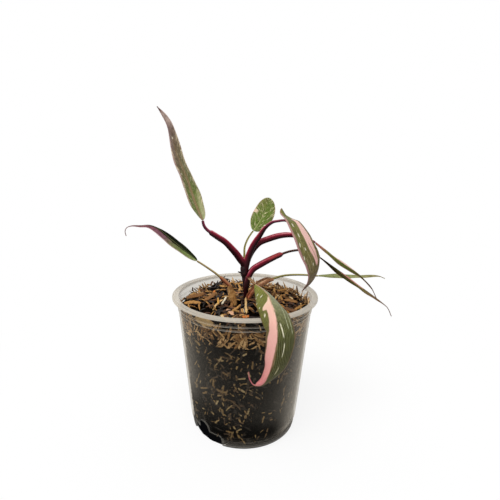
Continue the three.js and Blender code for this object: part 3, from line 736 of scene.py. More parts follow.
def lathe_shape():
    """Turns a line of points, given as outwards from the path and down, about the vertical axis."""
    shape = Shape("turned wall", {"Segments": "whole", "Path Radius": "number", "Skin": "skin"})
    profile = shape.node("GeometryNodeMeshToCurve", sockets={"Mesh": shape.given("Geometry")})
    path = shape.node("GeometryNodeCurvePrimitiveCircle",
                      sockets={"Resolution": shape.given("Segments"), "Radius": shape.given("Path Radius")})
    wall = shape.node("GeometryNodeCurveToMesh", sockets={"Curve": path, "Profile Curve": profile})
    shape.close(wall, shape.given("Skin"))
    return shape


def strand_shape():
    """Gives a line of points a round skin whose radius is the line's own width mark."""
    shape = Shape("strand", {"Sides": "whole", "Skin": "skin"})
    line = shape.node("GeometryNodeMeshToCurve", sockets={"Mesh": shape.given("Geometry")})
    width = shape.node("GeometryNodeInputNamedAttribute", {"data_type": "FLOAT"}, {"Name": "width"})
    line = shape.node("GeometryNodeSetCurveRadius", sockets={"Curve": line, "Radius": width})
    ring = shape.node("GeometryNodeCurvePrimitiveCircle", sockets={"Resolution": shape.given("Sides"),
                                                                   "Radius": 1.0})
    skin = shape.node("GeometryNodeCurveToMesh",
                      sockets={"Curve": line, "Profile Curve": ring, "Scale": width, "Fill Caps": True})
    shape.close(skin, shape.given("Skin"))
    return shape


def scatter_shape():
    """Strews slivers over a surface, as thickly as its crowd mark says, each lying along it with a random
    turn, tilt, size and tone."""
    shape = Shape("strewn slivers", {"Density": "number", "Seed": "whole", "Tilt": "number",
                                     "Least Size": "number", "Most Size": "number", "Tone Shift": "number",
                                     "Slivers": "group", "Skin": "skin"})
    ground = shape.given("Geometry")
    seed = shape.given("Seed")
    crowd = shape.node("GeometryNodeInputNamedAttribute", {"data_type": "FLOAT"}, {"Name": "crowd"})
    points = shape.node("GeometryNodeDistributePointsOnFaces", {"distribute_method": "RANDOM"},
                        {"Mesh": ground, "Density": crowd * shape.given("Density"), "Seed": seed})
    tilt = shape.given("Tilt")
    least = shape.node("ShaderNodeCombineXYZ", sockets={0: 0.0 - tilt, 1: 0.0 - tilt, 2: -math.pi})
    most = shape.node("ShaderNodeCombineXYZ", sockets={0: tilt, 1: tilt, 2: math.pi})
    turn = shape.node("FunctionNodeRandomValue", {"data_type": "FLOAT_VECTOR"},
                      {0: least, 1: most, "Seed": seed})
    turn = shape.node("FunctionNodeEulerToRotation", sockets={"Euler": turn})
    turned = shape.node("FunctionNodeRotateRotation", {"rotation_space": "LOCAL"},
                        {"Rotation": points.sibling("Rotation"), "Rotate By": turn})
    size = shape.node("FunctionNodeRandomValue", {"data_type": "FLOAT"},
                      {2: shape.given("Least Size"), 3: shape.given("Most Size"), "Seed": seed + 1.0}, out=1)
    kinds = shape.node("GeometryNodeCollectionInfo", sockets={"Collection": shape.given("Slivers"),
                                                              "Separate Children": True,
                                                              "Reset Children": True})
    strewn = shape.node("GeometryNodeInstanceOnPoints",
                        sockets={"Points": points, "Instance": kinds, "Pick Instance": True,
                                 "Rotation": turned, "Scale": size})
    tone = shape.node("FunctionNodeRandomValue", {"data_type": "FLOAT"},
                      {2: 0.0, 3: 1.0, "Seed": seed + 2.0}, out=1)
    toned = shape.node("GeometryNodeStoreNamedAttribute", {"data_type": "FLOAT", "domain": "INSTANCE"},
                       {"Geometry": strewn, "Name": "tone", "Value": tone + shape.given("Tone Shift")})
    shape.close(toned, shape.given("Skin"))
    return shape


# The pot


def body_radius(z):
    return POT_BODY_RADIUS + POT_TAPER * z


def rounded(corners, steps=4):
    """The points of a line whose corners, given as (r, z, rounding), are eased into short curves."""
    line = []
    for k, (r, z, rounding) in enumerate(corners):
        here = np.array([r, z], float)
        if rounding == 0:
            line.append(here)
            continue
        before = np.array(corners[k - 1][:2], float)
        after = np.array(corners[k + 1][:2], float)
        start = here + unit(before - here) * rounding
        end = here + unit(after - here) * rounding
        for t in np.linspace(0, 1, steps + 1):
            line.append((1 - t) ** 2 * start + 2 * t * (1 - t) * here + t ** 2 * end)
    return line


def ridge(radius, z, relief, half_foot, half_crest):
    """One raised ring's corners, on the way up the wall."""
    crest = radius + relief
    soft = 0.1
    return [(radius, z - half_foot, soft), (crest, z - half_crest, soft), (crest, z + half_crest, soft),
            (radius, z + half_foot, soft)]


def foot_radius(z):
    """The outer radius of the foot under its step."""
    start = POT_FOOT_RADIUS + FOOT_FLARE
    return start + (POT_BODY_RADIUS - start) * (z - FOOT_BEVEL) / (UNDER_STEP - FOOT_BEVEL)


def inner_radius(z, wall):
    """The radius of the wall's inner face at each height."""
    heights = [POT_FLOOR, UNDER_STEP, OVER_STEP, POT_HEIGHT]
    radii = [POT_FOOT_RADIUS, POT_BODY_RADIUS, body_radius(OVER_STEP), body_radius(POT_HEIGHT)]
    return np.interp(z, heights, radii) - wall


def pot_profile(settings):
    """The pot's half outline, up the outside from the foot and down the inside to the floor."""
    top, wall = settings.top_radius / MM, settings.wall / MM
    under_rim = POT_HEIGHT - RIM_THICKNESS
    line = [(0, 0, 0), (POT_FOOT_RADIUS, 0, 0.5), (foot_radius(FOOT_BEVEL), FOOT_BEVEL, 0.6)]
    for z in FOOT_RINGS:
        line += ridge(foot_radius(z), z, *FOOT_RING)
    line += [(POT_BODY_RADIUS, UNDER_STEP, 0.25), (body_radius(FOOT_STEP_HEIGHT), FOOT_STEP_HEIGHT, 0.3)]
    for z in STACKING_RINGS:
        line += ridge(body_radius(z), z, *STACKING_RING)
    line += [(body_radius(under_rim), under_rim - 0.5, 0.35), (top - 2, under_rim, 0.4),
             (top, under_rim + 0.3, 0.5), (top, POT_HEIGHT, 0.7),
             (body_radius(POT_HEIGHT) - wall, POT_HEIGHT, 0.5),
             (body_radius(FOOT_STEP_HEIGHT) - wall, OVER_STEP, 0.4),
             (POT_BODY_RADIUS - wall, UNDER_STEP, 0.4),
             (POT_FOOT_RADIUS - wall, POT_FLOOR, 0.6), (0, POT_FLOOR, 0)]
    return rounded(line)


def slot_outline():
    """A drainage slot seen from outside: a low wide mouth under a tall arch, as points across and up."""
    half, arch = MOUTH_WIDTH / 2, ARCH_WIDTH / 2
    corner = [(half - MOUTH_CORNER * (1 - math.cos(a)), MOUTH_HEIGHT - MOUTH_CORNER * (1 - math.sin(a)))
              for a in np.linspace(0, math.pi / 2, 7)]
    arc = [(arch * math.cos(a), ARCH_HEIGHT - arch + arch * math.sin(a))
           for a in np.linspace(0, math.pi / 2, 13)]
    right = [(half, CUTTER_START), *corner, (arch, MOUTH_HEIGHT), *arc]
    return right + [(-x, z) for x, z in reversed(right[:-1])]


def slot_depth(points):
    """How far inside the outline of a drainage slot each point by the wall lies. Under 0 is outside."""
    depths = []
    height = points[:, 2]
    for angle in np.radians(SLOT_ANGLES):
        across = np.abs(points[:, 1] * math.cos(angle) - points[:, 0] * math.sin(angle))
        outward = points[:, 0] * math.cos(angle) + points[:, 1] * math.sin(angle)
        mouth = np.minimum(MOUTH_WIDTH / 2 - across, MOUTH_HEIGHT - height)
        over = np.maximum(height - (ARCH_HEIGHT - ARCH_WIDTH / 2), 0)
        arch = ARCH_WIDTH / 2 - np.hypot(across, over)
        depths.append(np.where(outward > 0, np.maximum(mouth, arch), -math.inf))
    return np.maximum(*depths)


def slot_cutter(angle, skin):
    """The block that one drainage slot leaves empty, from inside the foot out past the wall."""
    outline = slot_outline()
    turn = math.radians(angle)
    points = []
    for reach in CUTTER_REACH:
        for across, z in outline:
            x = reach * math.cos(turn) + across * math.sin(turn)
            y = reach * math.sin(turn) - across * math.cos(turn)
            points.append((x, y, z))
    count = len(outline)
    faces = ring_faces(2, count)
    faces += [tuple(range(count)), tuple(range(2 * count - 1, count - 1, -1))]
    return turned_outwards(new_piece("slot cutter", points, faces, skins=[skin], smooth=False))


def cut_by(piece, cutter):
    """Takes the cutter's block out of the piece, whose cut faces get the cutter's skin."""
    modifier = piece.modifiers.new("cut", "BOOLEAN")
    modifier.operation = "DIFFERENCE"
    modifier.solver = "EXACT"
    modifier.material_mode = "TRANSFER"
    modifier.object = cutter
    plain_mesh(piece)
    bpy.data.objects.remove(cutter)
    return piece


def smooth_past(piece, degrees):
    """Shades the piece smooth, but for the edges that turn more than this."""
    mesh = piece.data
    mesh.polygons.foreach_set("use_smooth", [True] * len(mesh.polygons))
    mesh.set_sharp_from_angle(angle=math.radians(degrees))


def see_through(skin, cover, plastic):
    """Closes a material whose plastic covers this share of what is behind it."""
    clear = skin.node("ShaderNodeBsdfTransparent", sockets={"Color": paint(CLEAR)})
    return skin.close(skin.node("ShaderNodeMixShader", sockets={0: cover, 1: clear, 2: plastic}))


def clear_plastic(settings):
    """Thin plastic: clear face on, milky where it is seen edge on, at the rim and on its raised rings. Its
    milk and milky edge are cut back low down and on the lower left as painted shade, its milky edge is raised
    on the right as painted light, and its bottom band is near-black plastic as painted shade.
    """
    skin = Skin("clear_plastic")
    spot = skin.spot()
    sideways = skin.node("ShaderNodeSeparateXYZ", sockets={0: spot}, out="X")
    height = sideways.sibling("Z")
    facing = skin.node("ShaderNodeLayerWeight", sockets={"Blend": 0.5}, out="Facing")
    rim = height.rise(POT_HEIGHT - 2.8, POT_HEIGHT - 1.9)
    clouds = skin.noise(spot, 0.03, 3.0, 0.6)
    # Painted shade: the milk fades towards the bottom.
    haze = settings.milk * (0.3 + 1.4 * clouds) * (0.1 + 0.9 * height.rise(12, 60))
    # Painted shade: the milky edge is cut back on the lower left and low in the middle.
    shaded = sideways.rise(0, -35) * height.rise(62, 25)
    low_middle_shade = height.rise(34, 14) * abs(sideways).rise(36, 22)
    # The milky edge, seen edge on, grows paler towards the right as painted light.
    edge = facing ** 3.0 * (0.34 + 0.26 * sideways.rise(-30, 45)) * (1.0 - 0.7 * rim)
    edge = edge * (1.0 - 0.75 * shaded) * (1.0 - 0.85 * low_middle_shade)
    # Painted shade: the bottom band is near-black and nearly opaque.
    base = height.rise(3.0, 1.8)
    cover = haze + edge * (1.0 - base) + 0.52 * rim
    for rings, half, share in ((STACKING_RINGS, 0.3, 0.34), (FOOT_RINGS, 0.25, 0.1)):
        for z in rings:
            cover = cover + abs(height - z).rise(half, half * 0.4) * share
    dirt = skin.cells(spot, 0.11).rise(0.075, 0.05) * height.rise(MIX_TOP, MIX_TOP - 30)
    cover = (cover + 0.6 * dirt).least(0.9).most(0.94 * base)
    # The haze turns near-black at the specks of mix and at the painted shade of the bottom band.
    haze_specks_and_foot_shade = skin.mix(dirt.most(base), tuple(settings.tint), paint("0c0c0d"))
    plastic = skin.surface(base_color=haze_specks_and_foot_shade, roughness=0.3, specular_ior_level=0.05)
    return see_through(skin, cover, plastic)


def cut_plastic():
    """The cut edges of the drainage slots, paler than the wall."""
    skin = Skin("cut_plastic")
    return see_through(skin, 0.25, skin.surface(base_color=paint("c9c8c2"), roughness=0.4))


class PLANT_OT_build_pot(bpy.types.Operator):
    """Builds the clear nursery pot: a turned wall with a flange rim, rings and two drainage slots."""

    bl_idname = "plant.build_pot"
    bl_label = "Pot"

    def execute(self, context):
        settings = context.scene.pot_settings
        path_radius = 20.0
        profile = [(r - path_radius, -z, 0) for r, z in pot_profile(settings)]
        steps = [(k, k + 1) for k in range(len(profile) - 1)]
        pot = new_piece("pot", profile, [], edges=steps)
        skin = clear_plastic(settings)
        lathe_shape().grow(pot, {"Segments": settings.segments, "Path Radius": path_radius * MM,
                                 "Skin": skin})
        turned_outwards(pot)
        edge_skin = cut_plastic()
        for angle in SLOT_ANGLES:
            cut_by(pot, slot_cutter(angle, edge_skin))
        smooth_past(pot, 40)
        hand_over(pot, "pot")
        return {"FINISHED"}


# The mix and the mulch


def mound_height(x, y):
    """The height of the mulch over each place."""
    rise = 0
    for mound in (CENTRE_MOUND, BACK_MOUND):
        distance = np.hypot(x - mound["x"], y - mound["y"])
        rise = rise + mound["rise"] * np.exp(-(distance / mound["spread"]) ** 2)
    return MULCH_LEVEL + rise


def lumps(points, size, depth):
    """How far each point is pushed by lumps of this size."""
    return depth * np.array([noise.fractal(Vector(p) / size, 0.6, 2.0, 4) for p in points])


def inside_wall(points, wall, gap=WALL_GAP):
    """The points, drawn in wherever they come nearer to the wall than the gap."""
    points = np.array(points, float)
    radius = np.hypot(points[:, 0], points[:, 1])
    most = inner_radius(points[:, 2], wall) - gap
    share = np.minimum(1, most / np.maximum(radius, 1e-6))
    points[:, :2] *= share[:, None]
    return points


def hold_inside(piece, wall, floor):
    """Presses a finished piece's slivers against the wall, and none under the floor."""
    points = inside_wall(points_of(piece), wall)
    points[:, 2] = np.maximum(points[:, 2], floor)
    move_points(piece, points)


def raised_mound(rise):
    """The mulch's height as a function of the place, raised by this much."""
    return lambda x, y: mound_height(x, y) + rise


def disc_ground(name, reach, height_at, rings=44):
    """A round surface whose height is worked out from the place."""
    spokes = 120
    radii = reach * np.sqrt(np.linspace(0.0004, 1, rings))
    angles = np.linspace(0, 2 * math.pi, spokes, endpoint=False)
    points = np.array([(r * math.cos(a), r * math.sin(a), 0) for r in radii for a in angles])
    points[:, 2] = height_at(points[:, 0], points[:, 1])
    faces = ring_faces(rings, spokes)
    faces.append(tuple(range(spokes - 1, -1, -1)))
    return new_piece(name, points, faces)


def fill_slots(piece, wall):
    """Swells the mix out into the drainage slots, as far as the wall's outer face."""
    points = points_of(piece)
    radius = np.hypot(points[:, 0], points[:, 1])
    near_wall = radius > inner_radius(points[:, 2], wall) - SWELL_DEPTH
    share = np.clip(slot_depth(points) / SWELL_BORDER, 0, 1) * near_wall
    points[:, :2] *= (1 + share * (wall - SWELL_GAP) / np.maximum(radius, 1))[:, None]
    points[:, 2] -= share * SAG * np.interp(points[:, 2], SAG_HEIGHTS, (1, 0))
    move_points(piece, points)


def wall_ground(name, low, high, wall, depth, rows=30, spokes=150, lump=1.3):
    """A lumpy band just inside the pot's wall."""
    heights = np.linspace(low, high, rows)
    angles = np.linspace(0, 2 * math.pi, spokes, endpoint=False)
    points = []
    for z in heights:
        radius = inner_radius(z, wall) - depth
        points += [(radius * math.cos(a), radius * math.sin(a), z) for a in angles]
    points = np.array(points)
    push = lumps(points, 5, lump)
    points[:, :2] *= (1 + push / np.hypot(points[:, 0], points[:, 1]))[:, None]
    return new_piece(name, inside_wall(points, wall, LUMP_GAP), ring_faces(rows, spokes))


def sliver(name, length, width, thickness, bend, seed):
    """One ragged splinter: a flat rounded bar whose width and course wander a little."""
    draw = np.random.default_rng(seed)
    rings, sides = 8, 7
    places = np.linspace(-0.5, 0.5, rings)
    wander = draw.normal(0, 0.1, (rings, 3))
    points = []
    for k, place in enumerate(places):
        end = 1 - abs(2 * place) ** 5 * draw.uniform(0.35, 0.9)
        lift = bend * (4 * place * place - 0.3)
        for side in range(sides):
            angle = 2 * math.pi * side / sides
            rough = 1 + draw.normal(0, 0.12)
            across = (math.cos(angle) * end * rough + wander[k, 0]) * width / 2
            up = (math.sin(angle) * end * rough + wander[k, 1]) * thickness / 2
            points.append((place * length, across, up + lift))
    faces = ring_faces(rings, sides)
    last = (rings - 1) * sides
    faces += [tuple(range(sides)), tuple(range(last + sides - 1, last - 1, -1))]
    return turned_outwards(new_piece(name, points, faces, smooth=False))


def sliver_kinds(group_name, sizes, seed):
    """A collection of slivers to strew, out of the scene."""
    group = bpy.data.collections.new(group_name)
    for k, (length, width, thickness, bend) in enumerate(sizes):
        piece = sliver(f"{group_name} {k}", length, width, thickness, bend, seed + k)
        bpy.context.scene.collection.objects.unlink(piece)
        group.objects.link(piece)
    return group


def crowding(points, size, contrast):
    """How thickly slivers lie at each point: about 1, with more in some places and fewer in others."""
    drift = np.array([noise.noise(Vector(p) / size) for p in points])
    return np.maximum(1 + contrast * drift, 0)


def husk_pocket(points):
    """How much more husk lies at each point of the dark mix, in the pocket by the front of the wall."""
    angle = np.degrees(np.arctan2(points[:, 1], points[:, 0]))
    off = ((angle - HUSK_POCKET["angle"]) / HUSK_POCKET["half_angle"]) ** 2
    return HUSK_POCKET["extra"] * np.exp(-off)


def hollow_share(points):
    """The share of the mulch's slivers that is left at each point, few in the dark hollow by the rim."""
    across, away = points[:, 0] - MULCH_HOLLOW["x"], points[:, 1] - MULCH_HOLLOW["y"]
    return 1 - MULCH_HOLLOW["share"] * np.exp(-(np.hypot(across, away) / MULCH_HOLLOW["spread"]) ** 2)


def strew(ground, crowd, lie, density, seed, shape, kinds, skin):
    """Slivers over a ground, which is used up."""
    add_mark(ground, "crowd", crowd)
    tilt, least, most, tone_shift = lie
    values = {"Density": density, "Seed": seed, "Tilt": math.radians(tilt), "Least Size": least,
              "Most Size": most, "Tone Shift": tone_shift, "Slivers": kinds, "Skin": skin}
    return shape.grow(ground, values)


def laid_sliver(name, seed, skin, start, end, width, thickness, bend, tone, face=(0, -0.5, 1)):
    """A sliver laid from one point to another, with its flat side turned to a given way."""
    start, end = np.array(start, float), np.array(end, float)
    length = np.linalg.norm(end - start)
    piece = sliver(name, length, width, thickness, bend, seed)
    along = (end - start) / length
    across = unit(np.cross(np.array(face, float), along))
    turn = np.stack([along, across, np.cross(along, across)])
    move_points(piece, points_of(piece) @ turn + (start + end) / 2)
    add_mark(piece, "tone", np.full(len(piece.data.vertices), tone))
    piece.data.materials.append(skin)
    return piece


def drop_kinds(group):
    for piece in list(group.objects):
        bpy.data.objects.remove(piece)
    bpy.data.collections.remove(group)


def husk_skin(name, tones):
    """Split husk and bark: each sliver has its own tone, with darker grain along it."""
    skin = Skin(name)
    tone = skin.attribute("tone")
    spot = skin.spot()
    grain = skin.noise(spot, 1.1, 4.0, 0.65)
    fine = skin.noise(spot, 4.0, 3.0, 0.6)
    base = skin.ramp(tone, tones)
    shade = 0.4 + 0.95 * grain.rise(0.28, 0.7)
    dark = skin.mix(shade.least(1.0), paint("1c1008"), base)
    fleck = fine.rise(0.62, 0.78) * 0.3
    colour = skin.mix(fleck, dark, paint("e0bf8c"))
    bump = skin.bump(grain + 0.5 * fine, 0.25, 0.8)
    return skin.close(skin.surface(base_color=colour, roughness=0.75, normal=bump))


def crumb_skin(name, dark, light, damp=None):
    """Crumb between two colours, darker towards the bottom between two given heights."""
    skin = Skin(name)
    spot = skin.spot()
    clumps = skin.noise(spot, 0.3, 5.0, 0.7)
    grit = skin.cells(spot, 1.2)
    colour = skin.mix(clumps.rise(0.42, 0.78), dark, light)
    colour = skin.mix(grit.rise(0.15, 0.5) * 0.5, colour, dark)
    # Darker towards the bottom, between the two heights given.
    if damp:
        height = skin.node("ShaderNodeSeparateXYZ", sockets={0: spot}, out="Z")
        colour = skin.mix(height.rise(*damp) * 0.85, colour, paint(LOW_DARK_TONE))
    bump = skin.bump(clumps, 0.5, 0.6)
    return skin.close(skin.surface(base_color=colour, roughness=0.95, normal=bump, specular_ior_level=0.0))


# The tones of the slivers, from the darkest to the palest
TOP_TONES = [(0.0, "120804"), (0.15, "2a1508"), (0.34, "5e3614"), (0.52, "90602c"), (0.68, "b8843f"),
             (0.84, "dcab66"), (0.94, "f0d09a"), (0.965, "e0a544"), (0.98, "d0701e"), (1.0, "f4e8ca")]
WALL_TONES = [(0.0, "170d07"), (0.25, "422a16"), (0.5, "8e6639"), (0.75, "c99a60"), (1.0, "fad29a")]
MIX_TONES = [(0.0, "0c0a08"), (0.3, "221a14"), (0.48, "5a4530"), (0.68, "8c704a"), (0.86, "b0935f"),
             (1.0, "d0bb90")]

# The kinds of sliver: length, width, thickness and bend
SLIVER_SIZES = [(15, 2.3, 1.2, 0.8), (11, 1.8, 1.0, 1.4), (19, 1.4, 0.9, 2.8), (8, 2.5, 1.5, 0.4),
                (13, 1.9, 1.0, -1.4), (7, 1.4, 1.0, 0.5), (16, 0.9, 0.7, 3.4), (10, 2.8, 1.2, 0.8)]
FIBRE_SIZES = [(12, 1.5, 0.6, 1.0), (7, 2.0, 0.8, 0.3), (5, 1.5, 0.8, 0.2), (9, 0.8, 0.5, 1.8),
               (4, 1.6, 0.9, 0.1), (10, 2.4, 0.7, 0.5), (6, 0.6, 0.5, 1.6)]

# Where more husk lies in the dark mix, and where few slivers lie on top
HUSK_POCKET = {"angle": -103, "half_angle": 26, "extra": 1.9}
MULCH_HOLLOW = {"x": -30, "y": -27, "spread": 19, "share": 0.82}

# How slivers lie: the most they tilt in degrees, their least and most size, and the shift of their tones.
# A layer on top also has how far it lies in from the wall and over the mound, and its share of slivers.
TOP_LAYERS = [
    # The low layer's tones are shifted darker as painted shade under the slivers above.
    {"name": "low layer", "inset": 6, "rise": -1.4, "share": 1.0, "lie": (24, 0.7, 1.1, -0.42)},
    {"name": "high layer", "inset": 3, "rise": 0.4, "share": 0.9, "lie": (34, 0.5, 1.15, 0.0)},
    {"name": "standing layer", "inset": 4, "rise": 1.4, "share": 0.16, "lie": (75, 0.3, 0.7, 0.05)},
]
# The wall layer's tones are shifted paler as painted light against the shadow under the rim.
WALL_LIE = (12, 0.4, 0.95, 0.18)
MIX_LIE = (10, 0.45, 1.0, 0.0)

# How far the seeds of the laid slivers, of the mix's kinds of bit and of its strewing are from the setting
LAID_SEED = 60
FIBRE_SEED = 40
MIX_SEED = 5

# Single bits that lie in plain sight: from, to, width, thickness, bend and tone. The chip under the rim
# has the way that its flat side faces too.
LAID_SLIVERS = [
    ((-49.4, 1.0, 110.5), (-35.6, 9.1, 111.5), 4.5, 1.5, 0.8, 0.5),
    ((-50.1, -8.3, 109.5), (-36.3, -9.8, 110.5), 3.6, 1.3, -0.8, 0.66),
    ((-33.9, -6.7, 110.5), (-24.8, 9.0, 112.5), 4.0, 1.4, 0.9, 0.52),
    ((-22.3, -6.0, 113.0), (-21.1, -17.9, 112.0), 1.6, 1.0, 0.6, 0.965),
    ((-15.6, -3.5, 113.5), (-18.5, -19.1, 112.5), 1.6, 1.0, 0.6, 1.0),
    ((-2.0, -37.2, 109.6), (2.9, -36.4, 110.0), 3.0, 1.2, 0.5, 0.98),
    ((30.2, -18.1, 110.0), (40.8, -23.8, 109.5), 3.2, 1.2, 0.8, 0.4),
    ((33.0, -1.5, 111.0), (43.6, -5.8, 110.5), 3.0, 1.2, -0.6, 0.55),
    ((28.2, 18.3, 111.5), (37.4, 22.6, 112.5), 2.6, 1.1, 0.6, 0.66),
    ((-54.7, -0.6, 108.0), (-55.1, 1.9, 113.0), 1.8, 0.9, 0.6, 0.2),
    ((54.2, -0.6, 108.0), (56.2, 1.4, 113.0), 1.8, 0.9, 0.6, 0.25),
    ((-47.0, 19.7, 110.0), (-46.2, 19.4, 114.0), 1.2, 0.8, 0.4, 0.2),
    ((1.2, -30.0, 109.0), (0.3, -22.0, 119.2), 1.8, 0.8, 3, 0.95),
    ((-36.8, -39.4, 109.2), (-22.8, -49.0, 108.4), 6.0, 1.0, 0.3, 0.94, (-0.55, -0.83, 0.1)),
]


class PLANT_OT_build_mulch(bpy.types.Operator):
    """Builds the husk mulch: a dark lumpy mound strewn with slivers, and more pressed to the wall."""

    bl_idname = "plant.build_mulch"
    bl_label = "Husk Mulch"

    def execute(self, context):
        settings = context.scene.mix_settings
        wall = context.scene.pot_settings.wall / MM
        reach = body_radius(MULCH_LEVEL) - wall - 1.2
        dark = crumb_skin("mulch_crumb", tuple(settings.gap), paint("2a1a0f"))
        husk = husk_skin("husk", TOP_TONES)
        wall_husk = husk_skin("wall_husk", WALL_TONES)
        shape = scatter_shape()
        kinds = sliver_kinds("husk slivers", SLIVER_SIZES, settings.seed)
        top = disc_ground("mulch", reach, raised_mound(-3.0))
        points = points_of(top)
        points[:, 2] += lumps(points, 6, 1.6)
        move_points(top, points)
        side = wall_ground("mulch side", MIX_TOP + 1, MULCH_LEVEL - 1.5, wall, 1.6)
        pieces = [top, side]
        for piece in pieces:
            piece.data.materials.append(dark)
        for k, layer in enumerate(TOP_LAYERS):
            ground = disc_ground(layer["name"], reach - layer["inset"], raised_mound(layer["rise"]))
            points = points_of(ground)
            crowd = crowding(points, 6, 1.8) * hollow_share(points)
            pieces.append(strew(ground, crowd, layer["lie"], settings.top_slivers * layer["share"],
                                settings.seed + k, shape, kinds, husk))
        ground = wall_ground("wall layer", MIX_TOP + 1, MULCH_LEVEL + 1, wall, 0.9)
        points = points_of(ground)
        crowd = crowding(points, 6, 1.8) * np.interp(points[:, 2], (MIX_TOP, MULCH_LEVEL), (0.7, 1.7))
        pieces.append(strew(ground, crowd, WALL_LIE, settings.wall_slivers,
                            settings.seed + len(TOP_LAYERS), shape, kinds, wall_husk))
        for k, bit in enumerate(LAID_SLIVERS):
            pieces.append(laid_sliver(f"laid {k}", settings.seed + LAID_SEED + k, husk, *bit))
        mulch = joined("husk_mulch", pieces)
        drop_kinds(kinds)
        hold_inside(mulch, wall, MIX_TOP + LAYER_GAP)
        hand_over(mulch, "husk_mulch")
        return {"FINISHED"}


class PLANT_OT_build_mix(bpy.types.Operator):
    """Builds the dark coco mix under the mulch, with fibres and husk bits pressed to the wall."""

    bl_idname = "plant.build_mix"
    bl_label = "Potting Mix"

    def execute(self, context):
        settings = context.scene.mix_settings
        wall = context.scene.pot_settings.wall / MM
        dark = crumb_skin("dark_mix", tuple(settings.crumb), paint("2b241e"), (44, 20))
        bits = husk_skin("mix_bits", MIX_TONES)
        low, high = POT_FLOOR + 0.4, MIX_TOP - LAYER_GAP
        core = wall_ground("core", low, high, wall, 0.8, rows=90, spokes=240, lump=0.9)
        lids = []
        for z in (low, high):
            lids.append(disc_ground("lid", inner_radius(z, wall) - 0.8, lambda x, y, z=z: z, rings=12))
        for piece in (core, *lids):
            piece.data.materials.append(dark)
        kinds = sliver_kinds("mix bits", FIBRE_SIZES, settings.seed + FIBRE_SEED)
        ground = wall_ground("bit layer", low + 2, MIX_TOP - 1, wall, 0.7)
        points = points_of(ground)
        crowd = crowding(points, 9, 1.5) * (0.75 + husk_pocket(points))
        crowd = crowd * (slot_depth(points) < -BITS_CLEAR_OF_SLOT)
        strewn = strew(ground, crowd, MIX_LIE, settings.mix_slivers, settings.seed + MIX_SEED,
                       scatter_shape(), kinds, bits)
        mix = joined("potting_mix", [core, *lids, strewn])
        drop_kinds(kinds)
        hold_inside(mix, wall, low)
        fill_slots(mix, wall)
        hand_over(mix, "potting_mix")
        return {"FINISHED"}


# The leaves


BLADE_ROWS = 160
BLADE_SIDE_COLUMNS = 16
SHEATH_ROWS = 60
SHEATH_SIDE_COLUMNS = 9
RIB_CROWDING = 1.3
LEAST_HALF_WIDTH = 0.4
RIB_CHANNEL = 0.3
RIB_KEEL = 0.75
RIB_SPREAD = 0.6
MARGIN_WAVE = 0.28
LOBE_FADE = 0.12


def blade_rows(blade, rows, side_columns):
    """A grid of points across a blade or a sheath, each half an arc that leaves the rib at the fold
    angle, with its places along, its shares across and its half widths."""
    places = np.linspace(0, 1, rows + 1)
    route = Route(blade["rib"])
    point, along, face, across = frames_along(route, eased(blade["facing"], places), places)
    half = np.maximum(blade["half_width"] * outline_share(places, blade["outline"]), LEAST_HALF_WIDTH)
    folds = np.radians(eased(blade["fold"], places))
    curl = math.radians(blade["curl"])
    steps = np.linspace(-1, 1, 2 * side_columns + 1)
    shares = np.sign(steps) * np.abs(steps) ** RIB_CROWDING
    grid = np.empty((rows + 1, len(shares), 3))
    for column, signed in enumerate(shares):
        side, share = np.sign(signed), abs(signed)
        fold = folds[:, 0 if side < 0 else 1]
        turn = fold + curl * share
        out = half * (np.sin(turn) - np.sin(fold)) / curl
        up = half * (np.cos(fold) - np.cos(turn)) / curl
        grid[:, column] = point + across * (side * out)[:, None] + face * up[:, None]
        if "lobes" in blade:
            lobe = blade["lobes"][0 if side < 0 else 1]
            fade = (share * np.exp(-places / LOBE_FADE))[:, None]
            shift = face * lobe["rise"] + across * (side * lobe["out"]) - along * lobe["back"]
            grid[:, column] += shift * fade
    return places, shares, half, grid, route.length


def sheet_normals(grid):
    along = np.gradient(grid, axis=0)
    across = np.gradient(grid, axis=1)
    return unit(np.cross(across, along))


def sheet_piece(name, upper, lower, marks, skin):
    """A closed thin sheet between an upper and a lower grid of points."""
    rows, columns = upper.shape[:2]
    count = rows * columns
    faces = []
    for row in range(rows - 1):
        for column in range(columns - 1):
            a = row * columns + column
            faces.append((a, a + 1, a + columns + 1, a + columns))
            faces.append((count + a, count + a + columns, count + a + columns + 1, count + a + 1))
    border = list(range(columns))
    border += [row * columns + columns - 1 for row in range(1, rows)]
    border += [(rows - 1) * columns + column for column in range(columns - 2, -1, -1)]
    border += [row * columns for row in range(rows - 2, 0, -1)]
    for k, a in enumerate(border):
        b = border[(k + 1) % len(border)]
        faces.append((b, a, count + a, count + b))
    points = np.concatenate([upper.reshape(-1, 3), lower.reshape(-1, 3)])
    both = {mark: np.concatenate([values.ravel(), values.ravel()]) for mark, values in marks.items()}
    both["under"] = np.repeat([0.0, 1.0], count)
    return new_piece(name, points, faces, both, [skin])


